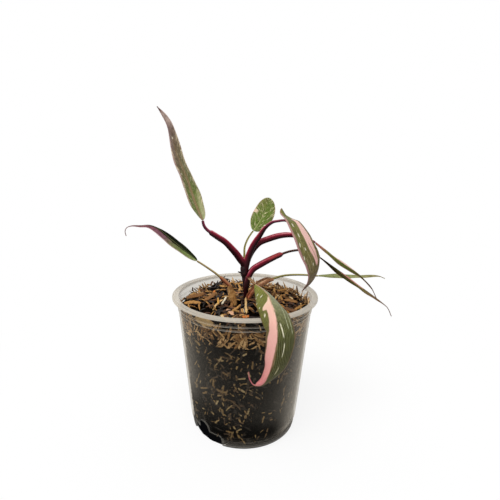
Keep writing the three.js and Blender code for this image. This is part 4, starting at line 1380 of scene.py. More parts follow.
def blade_piece(leaf, seed, skin, settings):
    """A leaf's blade: thin at the margin, with a channel along its rib above and a keel below."""
    name = "blade_" + leaf["name"]
    places, shares, half, grid, length = blade_rows(leaf["blade"], BLADE_ROWS, BLADE_SIDE_COLUMNS)
    up = sheet_normals(grid)
    reach = np.abs(shares)[None, :]
    across = shares[None, :] * half[:, None]
    sway = np.sin(places[:, None] * length / 5.5 + seed + 2.1 * np.sign(shares)[None, :])
    sway = sway + 0.5 * np.sin(places[:, None] * length / 2.7 + 2.3 * seed)
    room = np.minimum(half / 4, 1)[:, None]
    middle = grid + up * (MARGIN_WAVE * sway * reach ** 2 * room)[..., None]
    thickness = settings.blade_thickness / MM * (1 - 0.55 * reach) / 2
    near_rib = np.exp(-(across / (RIB_SPREAD * np.maximum(room, 0.4))) ** 2) * np.maximum(room, 0.3)
    fading = (1 - 0.7 * places)[:, None]
    upper = middle + up * (thickness - RIB_CHANNEL * near_rib * fading)[..., None]
    lower = middle - up * (thickness + RIB_KEEL * near_rib * fading)[..., None]
    whole = np.ones_like(across)
    marks = {"side": shares[None, :] * whole, "place": places[:, None] * whole, "across": across,
             "along": places[:, None] * length * whole}
    return sheet_piece(name, upper, lower, marks, skin)


class LeafSkin(Skin):
    """A variegated blade's material. Its streaks follow the side veins, which leave the rib and slope to
    the tip."""

    def __init__(self, name, look):
        super().__init__(name)
        self.look = look
        self.side, self.place = self.attribute("side"), self.attribute("place")
        self.across, self.along = self.attribute("across"), self.attribute("along")
        self.reach = abs(self.across)
        vein = self.reach - self.along / look.get("slope", 1.2)
        self.half_shift = self.side.rise(-0.01, 0.01) * 13.0
        self.streaks = self.grain(vein * 0.8, 0.1, 4.0, 0.62)
        self.mottle = self.grain(self.across * 0.35, 0.3, 4.0, 0.6)
        self.fine = self.grain(vein * 2.4, 0.32, 3.0, 0.6)
        self.drift = self.place + (self.streaks - 0.5) * 0.12
        self.ragged = self.side + (self.streaks - 0.5) * look.get("ragged", 0.3) + (self.fine - 0.5) * 0.12
        self.veins = (vein * 2.6 + (self.mottle - 0.5) * 3.0).wave() ** 2.0

    def grain(self, across, stretch, detail, roughness):
        """Noise on the blade's own coordinates, drawn apart on its two halves."""
        where = self.combine(across, self.along * stretch, self.half_shift)
        return self.noise(where, 1.0, detail, roughness)

    def border(self, points):
        """A line along the blade, as the signed share of its half width at each place."""
        return self.curve(self.place, [(place, (share + 1) / 2) for place, share in points]) * 2.0 - 1.0

    def halves(self):
        """The tones of the two halves, with a darker mottle."""
        minus, plus = (self.ramp(self.drift, self.look[half]) for half in ("minus", "plus"))
        colour = self.mix(self.side.rise(-0.03, 0.03), minus, plus)
        shade = self.ramp(self.mottle, [(0.28, "8c8c8c"), (0.66, "ffffff")])
        return self.mix(0.8, colour, shade, "MULTIPLY")

    def with_sector(self, colour, sector):
        """Adds a patch between two borders, with paler lines along the veins."""
        first, last = self.border(sector["from"]), self.border(sector["to"])
        soft = sector.get("soft", 0.05)
        cover = (self.ragged - first).rise(-soft, soft) * (last - self.ragged).rise(-soft, soft)
        start, end = sector["span"]
        cover = cover * self.place.rise(start, start + 0.03) * self.place.rise(end, end - 0.04)
        patch = self.ramp(self.drift, sector["colours"])
        paler = self.mix(0.5, patch, paint("f0d8cc"))
        lines = self.mix(self.fine.rise(0.35, 0.7) * sector.get("lines", 0.35), patch, paler)
        return self.mix(cover * sector.get("cover", 1.0), colour, lines)

    def with_flecks(self, colour, cream):
        """Strews cream flecks along the veins."""
        least, last = self.look.get("fleck_from", 0.62), self.look.get("fleck_end", 1.3)
        edged = self.fine + abs(self.side) ** 4.0 * self.look.get("edge_flecks", 0.0)
        flecks = edged.rise(least, least + 0.08) * self.streaks.rise(0.45, 0.6)
        flecks = flecks * self.place.rise(last, last - 0.2)
        return self.mix(flecks * self.look.get("flecks", 0.3), colour, cream)

    def with_veins(self, colour):
        """Draws the side veins and the fine lines across them."""
        cross = (self.along * 2.4 + self.reach * 0.8 + (self.fine - 0.5) * 3.0).wave() ** 2.0
        lines = (self.veins.rise(0.85, 1.0) + cross.rise(0.88, 1.0) * 0.6) * self.look.get("veins", 0.14)
        return self.mix(lines, colour, paint(self.look.get("vein", self.look["rib"])))

    def with_streak(self, colour, streak):
        """Draws a thin broken line along a course."""
        course, wide = streak["course"], streak["wide"]
        offset = abs(self.side - self.border(course) + (self.fine - 0.5) * 0.05)
        start, end = course[0][0], course[-1][0]
        line = offset.rise(wide, wide * 0.4) * self.place.rise(start, start + 0.02)
        line = line * self.place.rise(end, end - 0.02) * self.fine.rise(0.3, 0.5)
        return self.mix(line.least(0.9), colour, paint(streak["colour"]))

    def with_spot(self, colour, across, along, wide, tall, turn):
        """Adds an oval spot with an uneven border, at millimetres across and along the blade."""
        cosine, sine = math.cos(math.radians(turn)), math.sin(math.radians(turn))
        aside, ahead = self.across - across, self.along - along
        first = (aside * cosine + ahead * sine) / wide
        second = (ahead * cosine - aside * sine) / tall
        distance = first * first + second * second + (self.fine - 0.5) * 2.4
        cover = distance.rise(1.2, 0.6) * self.look.get("spot_cover", 0.85)
        return self.mix(cover, colour, paint("e6e0c8"))

    def with_edges(self, colour):
        """Draws the rib and the margin, and dulls the under side."""
        look = self.look
        wide = look.get("rib_width", 0.3)
        rib = self.reach.rise(wide * 1.5, wide * 0.5) * self.place.rise(look.get("rib_end", 1.0), 0.2)
        colour = self.mix(rib * 0.8, colour, paint(look["rib"]))
        margin = abs(self.side).rise(0.9, 0.99) * look.get("margin_cover", 0.7) * (0.3 + self.streaks)
        colour = self.mix(margin.least(1.0), colour, paint(look["margin"]))
        under = self.attribute("under") * look.get("under_cover", 0.55)
        return self.mix(under, colour, paint(look["under"]))

    def complete(self, colour):
        """Closes the material with its relief and its faint gloss."""
        groove = self.reach.rise(0.9, 0.2)
        bump = self.bump(self.veins * 0.35 + self.fine * 0.25 - groove * 0.4, 0.35, 0.7)
        return self.close(self.surface(base_color=colour, roughness=0.38 + 0.16 * self.mottle, normal=bump,
                                       specular_ior_level=self.look.get("gloss", 0.05)))


def leaf_skin(name, look, settings):
    """The finished material of one blade."""
    skin = LeafSkin(name, look)
    colour = skin.halves()
    for sector in look["sectors"]:
        colour = skin.with_sector(colour, sector)
    colour = skin.with_flecks(colour, tuple(settings.cream))
    colour = skin.with_veins(colour)
    for streak in look.get("streaks", ()):
        colour = skin.with_streak(colour, streak)
    for spot in look.get("spots", ()):
        colour = skin.with_spot(colour, *spot)
    return skin.complete(skin.with_edges(colour))


# How each blade is coloured. Minus and plus are the tones of its two halves from base to tip. A sector is
# a patch between two borders, given as (place, share across). A streak is a thin line along such a course.
# A spot is an oval at millimetres across and along, with its half sizes and its turn in degrees.
LEAF_LOOKS = {
    "tall": {
        "minus": [(0, "bcc890"), (0.1, "869a4c"), (0.3, "6c7c34"), (0.45, "6e6c3c"), (0.65, "76664c"),
                  (0.8, "7a655c"), (0.86, "c4aca0"), (0.92, "ccb4a8"), (0.965, "6a4444"), (1, "4a1a22")],
        "plus": [(0, "6c8238"), (0.25, "66742c"), (0.42, "6c6636"), (0.62, "746050"), (0.82, "7c625e"),
                 (0.88, "b89c92"), (0.93, "b89c92"), (0.97, "5e3438"), (1, "4a1a22")],
        "sectors": [
            {"span": (0.03, 0.3), "from": [(0, -1), (1, -1)], "to": [(0, -0.3), (0.2, -0.5), (0.3, -0.9)],
             "colours": [(0, "dcd8ae"), (0.3, "c8c48c")], "cover": 0.45, "soft": 0.2},
            {"span": (0.12, 0.9), "from": [(0, 0.8), (0.5, 0.72), (1, 0.8)], "to": [(0, 1.3), (1, 1.3)],
             "colours": [(0, "c09a98"), (0.6, "b08488"), (1, "8a4a58")], "cover": 0.7, "soft": 0.1},
        ],
        "spots": [(0, 63.4, 0.7, 1.1, 20), (-9, 52.9, 0.9, 0.7, 0), (6.3, 37.6, 0.8, 0.6, 30),
                  (10.4, 42.4, 0.9, 0.6, 0), (10.6, 25.4, 1.1, 0.7, 20)],
        "rib": "94785c", "rib_width": 1.9, "rib_end": 0.85, "margin": "dcb4ac", "under": "6b5b4c",
        "under_cover": 0.0, "flecks": 0.95, "fleck_from": 0.55, "fleck_end": 0.85, "edge_flecks": 0.26,
        "margin_cover": 0.35, "ragged": 0.5,
    },
    "low_left": {
        "minus": [(0, "a4b272"), (0.16, "87985a"), (0.3, "84865c"), (0.42, "87606a"), (0.6, "83525e"),
                  (0.8, "8a5a60"), (1, "6a3a40")],
        "plus": [(0, "2c3a1c"), (0.3, "141d10"), (0.6, "10180e"), (0.8, "241e1a"), (1, "5a3a36")],
        "sectors": [
            {"span": (0.02, 0.66), "from": [(0, -0.12), (0.3, -0.3), (0.6, -0.15)],
             "to": [(0, 1.3), (1, 1.3)],
             "colours": [(0, "26321a"), (0.3, "10180d"), (0.6, "16160f")], "soft": 0.05, "lines": 0.02},
        ],
        "rib": "8a8a5a", "margin": "dcb8b2", "under": "7a5a54", "flecks": 0.06,
        "veins": 0.03, "gloss": 0.0,
    },
    "small": {
        "minus": [(0, "728a3e"), (0.5, "637a2c"), (1, "808048")],
        "plus": [(0, "728a3e"), (0.5, "647c2e"), (1, "6c7c3a")],
        "sectors": [
            {"span": (0.45, 0.61), "from": [(0, -1.3), (1, -1.3)],
             "to": [(0.45, -0.95), (0.53, -0.62), (0.61, -0.85)],
             "colours": [(0, "e6c0a8"), (1, "ead0b8")], "cover": 0.9, "soft": 0.12},
        ],
        "spots": [(6.0, 9.0, 1.6, 0.5, 40), (5.4, 6.4, 1.3, 0.45, 40)],
        "rib": "b4bc7c", "rib_end": 0.8, "margin": "cf9d90", "under": "7a8a50",
        "flecks": 0.98, "fleck_from": 0.515, "edge_flecks": 0.06, "slope": 1.6,
    },
    "hanging": {
        "minus": [(0, "78763c"), (0.4, "6c6834"), (0.62, "685e36"), (0.8, "625034"), (0.93, "5c3e32"),
                  (1, "3a1c20")],
        "plus": [(0, "807e42"), (0.35, "76723e"), (0.6, "70653a"), (0.8, "665436"), (0.93, "5c3e32"),
                 (1, "3a1c20")],
        "sectors": [
            {"span": (0.03, 0.68), "from": [(0, -0.8), (0.3, -0.74), (0.5, -0.66), (0.7, -0.6)],
             "to": [(0, -0.7), (0.06, -0.5), (0.16, -0.1), (0.42, -0.02), (0.56, -0.16), (0.7, -0.5)],
             "colours": [(0, "efc4b8"), (0.4, "ecbab2"), (0.7, "cf9890")], "soft": 0.06},
            {"span": (0.02, 0.9), "from": [(0, 0.82), (0.5, 0.86), (1, 0.82)], "to": [(0, 1.3), (1, 1.3)],
             "colours": [(0, "c48c94"), (0.5, "a87480"), (1, "7a4650")], "cover": 0.85, "soft": 0.08},
        ],
        "streaks": [
            {"course": [(0.36, -0.22), (0.5, -0.36), (0.6, -0.46)], "wide": 0.04, "colour": "6e6238"},
            {"course": [(0.46, -0.16), (0.56, -0.28), (0.64, -0.36)], "wide": 0.035, "colour": "e0b0a4"},
            {"course": [(0.2, 0.42), (0.34, 0.5), (0.46, 0.52)], "wide": 0.03, "colour": "a8a070"},
            {"course": [(0.4, 0.3), (0.55, 0.26), (0.7, 0.2)], "wide": 0.03, "colour": "988e62"},
            {"course": [(0.5, 0.62), (0.62, 0.6), (0.72, 0.5)], "wide": 0.03, "colour": "a89a78"},
        ],
        "spots": [(5.4, 9.9, 0.8, 1.3, -20), (5.5, 16.9, 0.8, 1.6, -15), (9.1, 23.0, 0.7, 1.5, -20),
                  (4.7, 26.8, 0.7, 1.2, -10), (0.9, 39.5, 0.7, 1.3, 0), (9.6, 31.5, 0.6, 1.5, -15)],
        "spot_cover": 0.7,
        "rib": "8a8454", "rib_width": 0.4, "margin": "b08078", "under": "7a6050", "flecks": 0.35,
        "fleck_from": 0.6, "edge_flecks": 0.1, "slope": 9, "ragged": 0.2,
    },
    "upper_right": {
        "minus": [(0, "d4787c"), (0.12, "c48478"), (0.2, "8a8446"), (0.4, "74783a"), (0.62, "605e34"),
                  (0.85, "48352a"), (1, "2e1a16")],
        "plus": [(0, "c0605f"), (0.1, "9a6a50"), (0.18, "6a6e36"), (0.5, "565a2c"), (0.75, "44382a"),
                 (1, "2e1a16")],
        "sectors": [
            {"span": (0.22, 0.7), "from": [(0, -1.3), (1, -1.3)],
             "to": [(0.22, -1), (0.32, -0.5), (0.5, -0.35), (0.6, -0.5), (0.7, -1)],
             "colours": [(0, "f6d4c8"), (1, "e8b4aa")], "soft": 0.06},
        ],
        "rib": "8a8446", "margin": "a06a5e", "under": "6a5a40", "flecks": 0.1,
        "gloss": 0.0,
    },
    "lower_right": {
        "minus": [(0, "1e120e"), (0.18, "30281a"), (0.28, "4c3a24"), (0.5, "6a5638"), (0.65, "80644a"),
                  (0.85, "8a6a50"), (1, "5c3c2c")],
        "plus": [(0, "201410"), (0.12, "3e3820"), (0.24, "6e6838"), (0.5, "7c7644"), (0.65, "846c4c"),
                 (0.85, "846448"), (1, "5c3c2c")],
        "sectors": [
            {"span": (0.24, 0.58), "from": [(0.24, 0.12), (0.38, -0.1), (0.58, 0.1)],
             "to": [(0.24, 0.14), (0.34, 0.35), (0.5, 0.35), (0.58, 0.14)],
             "colours": [(0.2, "a8404a"), (0.35, "dc8c84"), (0.5, "d8948a"), (0.6, "b07060")], "soft": 0.08},
        ],
        "rib": "6a5a3a", "margin": "6a3a34", "under": "6a5640", "flecks": 0.1,
        "gloss": 0.0,
    },
    "level": {
        "minus": [(0, "989e66"), (0.5, "989c68"), (0.85, "988e5e"), (1, "7a6040")],
        "plus": [(0, "949a62"), (0.5, "a0a470"), (0.85, "988e5e"), (1, "7a6040")],
        "sectors": [],
        "rib": "aeb080", "margin": "a09468", "under": "909058", "flecks": 0.0,
        "veins": 0.05, "gloss": 0.0,
    },
    "front": {
        # The minus half's pale grey-green from its base to about 0.46 is a painted sheen.
        "minus": [(0, "bab898"), (0.2, "acac88"), (0.34, "94966e"), (0.46, "70724a"), (0.56, "4c4e24"),
                  (0.66, "3a3a14"), (0.86, "363412"), (0.92, "5a3a2a"), (1, "b0525a")],
        "plus": [(0, "8a8c3a"), (0.25, "74762a"), (0.45, "66662a"), (0.62, "6e5a38"), (0.8, "7a5040"),
                 (1, "b0525a")],
        "sectors": [
            {"span": (0.24, 1.2),
             "from": [(0.24, 0.03), (0.345, 0), (0.415, -0.07), (0.485, -0.07), (0.535, 0), (0.62, 0.07),
                      (0.71, 0.13), (0.785, 0.03), (0.84, -0.2), (0.9, -1)],
             "to": [(0.24, 0.05), (0.3, 0.2), (0.32, 0.6), (0.385, 0.33), (0.445, 0.33), (0.5, 0.47),
                    (0.58, 0.67), (0.655, 0.78), (0.735, 0.9), (0.85, 0.93), (1, 1)],
             "colours": [(0.24, "f2d6ba"), (0.36, "eec0ac"), (0.5, "e8aea2"), (0.65, "dc9c96"),
                         (0.78, "cf8482"), (0.88, "b95e66"), (1, "a8424c")], "soft": 0.045},
        ],
        "streaks": [
            {"course": [(0.5, -0.2), (0.55, -0.25), (0.585, -0.3)], "wide": 0.04, "colour": "e6e0c4"},
            {"course": [(0.6, -0.34), (0.65, -0.35), (0.69, -0.33)], "wide": 0.03, "colour": "dcd6b8"},
            {"course": [(0.73, -0.36), (0.77, -0.4), (0.8, -0.46)], "wide": 0.03, "colour": "c8c09a"},
            # These two grey-green lines are painted sheen lines.
            {"course": [(0.3, -0.5), (0.42, -0.56), (0.55, -0.6)], "wide": 0.025, "colour": "b8ba98"},
            {"course": [(0.34, -0.75), (0.46, -0.8), (0.58, -0.8)], "wide": 0.03, "colour": "b0b290"},
            {"course": [(0.37, 0.56), (0.41, 0.58)], "wide": 0.08, "colour": "ece2c8"},
        ],
        "spots": [(5.9, 16.2, 1.4, 0.8, 20), (4.5, 24.6, 1.5, 0.9, 20), (9.0, 17.5, 1.1, 0.7, 0),
                  (10.7, 27.1, 1.0, 0.7, 0), (10.5, 35.6, 0.9, 0.7, 0), (8.2, 51, 1.3, 0.8, 20)],
        "rib": "c89a80", "rib_end": 0.55, "vein": "b4b48a", "veins": 0.3,
        "margin": "8c6a4a", "under": "8a6a50", "flecks": 0.25, "ragged": 0.14, "slope": 10, "gloss": 0.04,
    },
}


class PLANT_OT_build_blades(bpy.types.Operator):
    """Builds the eight blades, each with its own pattern of green, cream and pink."""

    bl_idname = "plant.build_blades"
    bl_label = "Blades"

    def execute(self, context):
        settings = context.scene.plant_settings
        for seed, leaf in enumerate(LEAVES):
            name = leaf["name"]
            skin = leaf_skin("leaf_" + name, LEAF_LOOKS[name], settings)
            blade = blade_piece(leaf, seed, skin, settings)
            hand_over(blade, "blade_" + name)
        return {"FINISHED"}


# The stalks, stem and sheaths


# The outline of a winged stalk as (across, up), and the angles of the same points on a round one
CHANNEL_SECTION = [(-0.4, 0.45), (-0.48, 0), (-0.38, -0.33), (-0.2, -0.48), (0, -0.52), (0.2, -0.48),
                   (0.38, -0.33), (0.48, 0), (0.4, 0.45), (0.24, 0.14), (0, 0.02), (-0.24, 0.14)]
ROUND_ANGLES = (140, 180, 207, 240, 270, 300, 333, 360, 400, 425, 450, 475)
SECTION_STEPS = 3
STALK_RINGS = 110
NECK_STEP = 0.015
STEM_SIDES = 28
STEM_FACING = (0.31, 0.95, 0.1)

# Where the heels of four stalks end, down the stem from their feet
HEELS = {"tall": (-1.5, 0.3, 132.5), "hanging": (0.4, -1.2, 131.5), "upper_right": (0.3, 1.2, 133.5),
         "lower_right": (0.4, -2.6, 113.0)}


def smooth_section(corners):
    """A closed section through the corners with rounded sides."""
    corners = np.array(corners, float)
    points = []
    for k in range(len(corners)):
        a, b, c, d = (corners[(k + j) % len(corners)] for j in (-1, 0, 1, 2))
        for t in np.linspace(0, 1, SECTION_STEPS, endpoint=False):
            points.append(b + 0.5 * t * (c - a + t * (2 * a - 5 * b + 4 * c - d + t * (3 * (b - c) + d - a))))
    return np.array(points)


def loft_piece(name, rings, marks, skin):
    """A closed body through rings with the same number of points."""
    rings = np.asarray(rings)
    count = rings.shape[1]
    last = (len(rings) - 1) * count
    faces = [tuple(reversed(face)) for face in ring_faces(len(rings), count)]
    faces += [tuple(range(count)), tuple(range(last + count - 1, last - 1, -1))]
    piece = new_piece(name, rings.reshape(-1, 3), faces, marks, [skin])
    return turned_outwards(piece)


def stalk_piece(leaf, skin):
    """A leaf's stalk, with a winged channel as far as its sheath's end and round past it. Its heel, where
    it has one, runs on down the stem in a taper."""
    stalk = leaf["stalk"]
    end = stalk.get("sheath_end", 0)
    foot = stalk["route"][0]
    heel = HEELS.get(leaf["name"])
    route = Route([heel, *stalk["route"]] if heel else stalk["route"])
    heel_share = math.dist(heel, foot) / route.length if heel else 0
    shares = np.linspace(0, 1, STALK_RINGS)
    if end:
        steps = np.array([end - 0.001, end + 0.3 * NECK_STEP, end + NECK_STEP])
        shares = np.sort(np.concatenate([shares, heel_share + steps * (1 - heel_share)]))
    places = (shares - heel_share) / (1 - heel_share)
    point, along, face, across = frames_along(route, np.array(stalk["facing"], float)[None, :], shares)
    winged = smooth_section(CHANNEL_SECTION)
    angles = np.radians(ROUND_ANGLES)
    plain = smooth_section(np.stack([np.cos(angles), np.sin(angles)], axis=1) / 2)
    share = np.clip((places - end) / NECK_STEP, 0, 1) if end else np.zeros_like(places)
    size = eased(stalk["thickness"], places, 0.006)[:, 0]
    if heel:
        size = size * np.interp(shares, [0, heel_share], [0.55, 1])
    section = winged[None] * (1 - share)[:, None, None] + plain[None] * share[:, None, None]
    points = (point[:, None] - across[:, None] * (section[..., :1] * size[:, None, None])
              + face[:, None] * (section[..., 1:] * size[:, None, None]))
    whole = np.ones(points.shape[:2])
    bare = share if end else np.ones_like(places)
    marks = {"height": section[..., 1] * 2, "flank": section[..., 0] * 2, "place": places[:, None] * whole,
             "along": shares[:, None] * route.length * whole, "neck": bare[:, None] * whole}
    return loft_piece("stalk_" + leaf["name"], points, {k: v.ravel() for k, v in marks.items()}, skin)


def tube_rings(route, radius_at, count):
    """Rings about a route, with the radius worked out from the place."""
    places = np.linspace(0, 1, count)
    point, _, face, across = frames_along(Route(route), np.array([STEM_FACING]), places)
    angles = np.linspace(0, 2 * math.pi, STEM_SIDES, endpoint=False)
    ring = face[:, None] * np.cos(angles)[None, :, None] + across[:, None] * np.sin(angles)[None, :, None]
    return point[:, None] + ring * radius_at(places)[:, None, None]


def stalk_skin(name, tones, neck_tones, foot, foot_end, sheath_tip=None):
    """A smooth stalk whose colour runs from its belly to its wings, streaked lengthwise, with the darkest
    tones at the belly as painted shade and the palest at the wings as a painted highlight over its own
    colour. A sheath with a tip colour pales to it on its upper side from a place on."""
    skin = Skin(name)
    place = skin.attribute("place")
    height, flank = skin.attribute("height"), skin.attribute("flank")
    along, neck = skin.attribute("along"), skin.attribute("neck")
    streaks = skin.noise(skin.combine(flank * 2.4, height * 2.4, along * 0.09), 1.0, 4.0, 0.65)
    patches = skin.noise(skin.combine(flank * 0.4, height * 0.4, along * 0.16), 1.0, 2.0, 0.5)
    # The level runs from the belly up to the wings, so the ramps paint shade below and a highlight above.
    level = height * 0.5 + 0.5 + (streaks - 0.5) * 0.35 + (patches - 0.5) * 0.25
    sheathed, bare = skin.ramp(level, tones), skin.ramp(level, neck_tones)
    if sheath_tip:
        tip_colour, tip_start = sheath_tip
        tip = (place + (streaks - 0.5) * 0.15).rise(tip_start, tip_start + 0.1) * level.rise(0.35, 0.75)
        sheathed = skin.mix(tip * 0.85, sheathed, paint(tip_colour))
    colour = skin.mix(neck, sheathed, bare)
    at_foot = (place + (streaks - 0.5) * 0.12).rise(foot_end + 0.06, foot_end - 0.06)
    colour = skin.mix(at_foot * 0.92, colour, paint(foot))
    bump = skin.bump(streaks, 0.12, 0.7)
    return skin.close(skin.surface(base_color=colour, roughness=0.4, normal=bump, specular_ior_level=0.12))


# The tones of each stalk from belly to wings, where it is sheathed and where it is bare, and its foot's.
# Their darkest tones at the belly are painted shade and their palest at the wings a painted highlight.
CRIMSON = [(0.14, "1c050a"), (0.38, "380814"), (0.6, "640d20"), (0.78, "861a32"), (0.9, "b44c5a"),
           (0.98, "e2a6aa")]
CRIMSON_NECK = [(0.1, "2a0c12"), (0.5, "52142a"), (0.8, "782a42"), (1.0, "b87076")]
TAN = [(0.1, "3e3420"), (0.4, "6e5c38"), (0.7, "8c7a4c"), (0.95, "b8a478")]
STRAW = [(0.1, "4e4a2a"), (0.4, "8a8448"), (0.7, "a8a25e"), (0.95, "c8bc8a")]
RUSSET = [(0.1, "3c1c12"), (0.4, "6e3a24"), (0.7, "94573a"), (0.95, "b98a62")]
STALK_TONES = {
    "tall": (CRIMSON, CRIMSON_NECK, "26080e", 0.07),
    "low_left": (RUSSET, TAN, "5a2c1c", 0.3),
    "small": (STRAW, STRAW, "a86a58", 0.16),
    "hanging": (CRIMSON, CRIMSON_NECK, "2a0810", 0.05),
    "upper_right": (CRIMSON, CRIMSON_NECK, "26080e", 0.06),
    "lower_right": (CRIMSON, [(0.1, "140c0a"), (0.5, "33221a"), (0.8, "56382c"), (1.0, "7a4c44")],
                    "1e0b0a", 0.1, ("b4484a", 0.34)),
    "level": (STRAW, STRAW, "84402a", 0.3),
    "front": (STRAW, [(0.1, "4a3426"), (0.5, "86664a"), (0.8, "a88a66"), (1.0, "c4a888")], "5a2c20", 0.3),
}


class PLANT_OT_build_stalks(bpy.types.Operator):
    """Builds the eight leaf stalks."""

    bl_idname = "plant.build_stalks"
    bl_label = "Stalks"

    def execute(self, context):
        for leaf in LEAVES:
            name, kind = leaf["name"], leaf["stalk"]["skin"]
            skin = stalk_skin("stalk_" + name, *STALK_TONES[name])
            hand_over(stalk_piece(leaf, skin), "stalk_" + name)
        return {"FINISHED"}


def stem_skin():
    """Dark brown bark, streaked lengthwise and ringed where leaves have dropped."""
    skin = Skin("stem_skin")
    spot = skin.spot()
    around = skin.noise(skin.spot((1, 1, 0.25)), 1.1, 4.0, 0.65)
    rings = skin.noise(skin.spot((0.1, 0.1, 1)), 0.9, 3.0, 0.6)
    grain = skin.noise(spot, 2.5, 3.0, 0.6)
    colour = skin.mix(around.rise(0.4, 0.75), paint("120608"), paint("36131a"))
    colour = skin.mix(rings.rise(0.55, 0.75) * 0.4, colour, paint("50301f"))
    bump = skin.bump(around + 0.7 * rings + 0.3 * grain, 0.3, 0.8)
    return skin.close(skin.surface(base_color=colour, roughness=0.55, normal=bump, specular_ior_level=0.2))


class PLANT_OT_build_stem(bpy.types.Operator):
    """Builds the short dark stem with its leaf scars and its dead stub."""

    bl_idname = "plant.build_stem"
    bl_label = "Stem"

    def execute(self, context):
        skin = stem_skin()

        def stem_radius(places):
            scars = 0.05 * np.sin(places * 62) + 0.04 * np.sin(places * 23)
            return eased(STEM["thickness"], places, 0.02)[:, 0] / 2 * (1 + scars)

        def stub_radius(places):
            return eased(STUB["thickness"], places, 0.05)[:, 0] / 2

        pieces = []
        for name, route, radius, count in (("stem", STEM["route"], stem_radius, 150),
                                           ("stub", STUB["route"], stub_radius, 24)):
            pieces.append(loft_piece(name, tube_rings(route, radius, count), {}, skin))
        hand_over(joined("stem", pieces), "stem")
        return {"FINISHED"}


def sheath_skin(name, foot_colour, tones):
    """Dried papery skin with lengthwise ribs, dark on its inner side."""
    skin = Skin(name)
    across, along, place = (skin.attribute(mark) for mark in ("across", "along", "place"))
    ribs = skin.noise(skin.combine(across * 1.7, along * 0.1), 1.0, 4.0, 0.65)
    patches = skin.noise(skin.spot(), 0.35, 3.0, 0.6)
    colour = skin.ramp(ribs * 0.6 + patches * 0.4, zip((0.36, 0.48, 0.6), tones))
    colour = skin.mix((1.0 - skin.attribute("under")) * 0.4, colour, paint("3a2212"))
    foot = place.rise(0.5, 0.05) * 0.7
    colour = skin.mix(foot, colour, paint(foot_colour))
    bump = skin.bump(ribs, 0.3, 0.9)
    return skin.close(skin.surface(base_color=colour, roughness=0.8, normal=bump))


class PLANT_OT_build_sheaths(bpy.types.Operator):
    """Builds the two dried sheaths at the foot of the stem."""

    bl_idname = "plant.build_sheaths"
    bl_label = "Dried Sheaths"

    def execute(self, context):
        settings = context.scene.plant_settings
        for sheath in SHEATHS:
            skin = sheath_skin(sheath["name"], sheath["foot"], sheath["tones"])
            places, shares, half, grid, length = blade_rows(sheath, SHEATH_ROWS, SHEATH_SIDE_COLUMNS)
            up = sheet_normals(grid)
            whole = np.ones(grid.shape[:2])
            across = shares[None, :] * half[:, None]
            crease = 0.16 * np.sin(shares * 17)[None, :] * (0.4 + places)[:, None]
            half_thick = settings.sheath_thickness / MM / 2 * (1 - 0.5 * np.abs(shares)[None, :] * whole)
            marks = {"across": across, "along": places[:, None] * length * whole,
                     "place": places[:, None] * whole}
            piece = sheet_piece(sheath["name"], grid + up * (crease + half_thick)[..., None],
                                grid + up * (crease - half_thick)[..., None], marks, skin)
            hand_over(piece, sheath["name"])
        return {"FINISHED"}


def root_skin():
    """Pale fleshy roots."""
    skin = Skin("root")
    grain = skin.noise(skin.spot(), 1.2, 4.0, 0.6)
    colour = skin.mix(grain.rise(0.3, 0.7), paint("a08a5e"), paint("dccba2"))
    return skin.close(skin.surface(base_color=colour, roughness=0.8))


def root_route(root):
    """A root's route from the crown, out and down through the mix."""
    route = [ROOT_START]
    for out, down, sway in ROOT_COURSE:
        bearing, reach = math.radians(root["angle"] + sway), root["reach"] * out
        route.append((reach * math.cos(bearing), reach * math.sin(bearing), ROOT_TOP - root["depth"] * down))
    return route


class PLANT_OT_build_roots(bpy.types.Operator):
    """Builds the roots that spread from the stem's foot through the mix."""

    bl_idname = "plant.build_roots"
    bl_label = "Roots"

    def execute(self, context):
        lines = [(ROOT_CROWN, CROWN_RADII), *((root_route(root), ROOT_RADII) for root in ROOTS)]
        places = np.linspace(0, 1, ROOT_POINTS)
        points, widths, edges = [], [], []
        for route, (start, end) in lines:
            first = len(points)
            points += Route(route).at(places).tolist()
            widths += ((start + (end - start) * places) * MM).tolist()
            edges += [(first + k, first + k + 1) for k in range(ROOT_POINTS - 1)]
        roots = new_piece("roots", points, [], {"width": widths}, edges=edges)
        strand_shape().grow(roots, {"Sides": 10, "Skin": root_skin()})
        hand_over(roots, "roots")
        return {"FINISHED"}


# The floor, the light and the camera


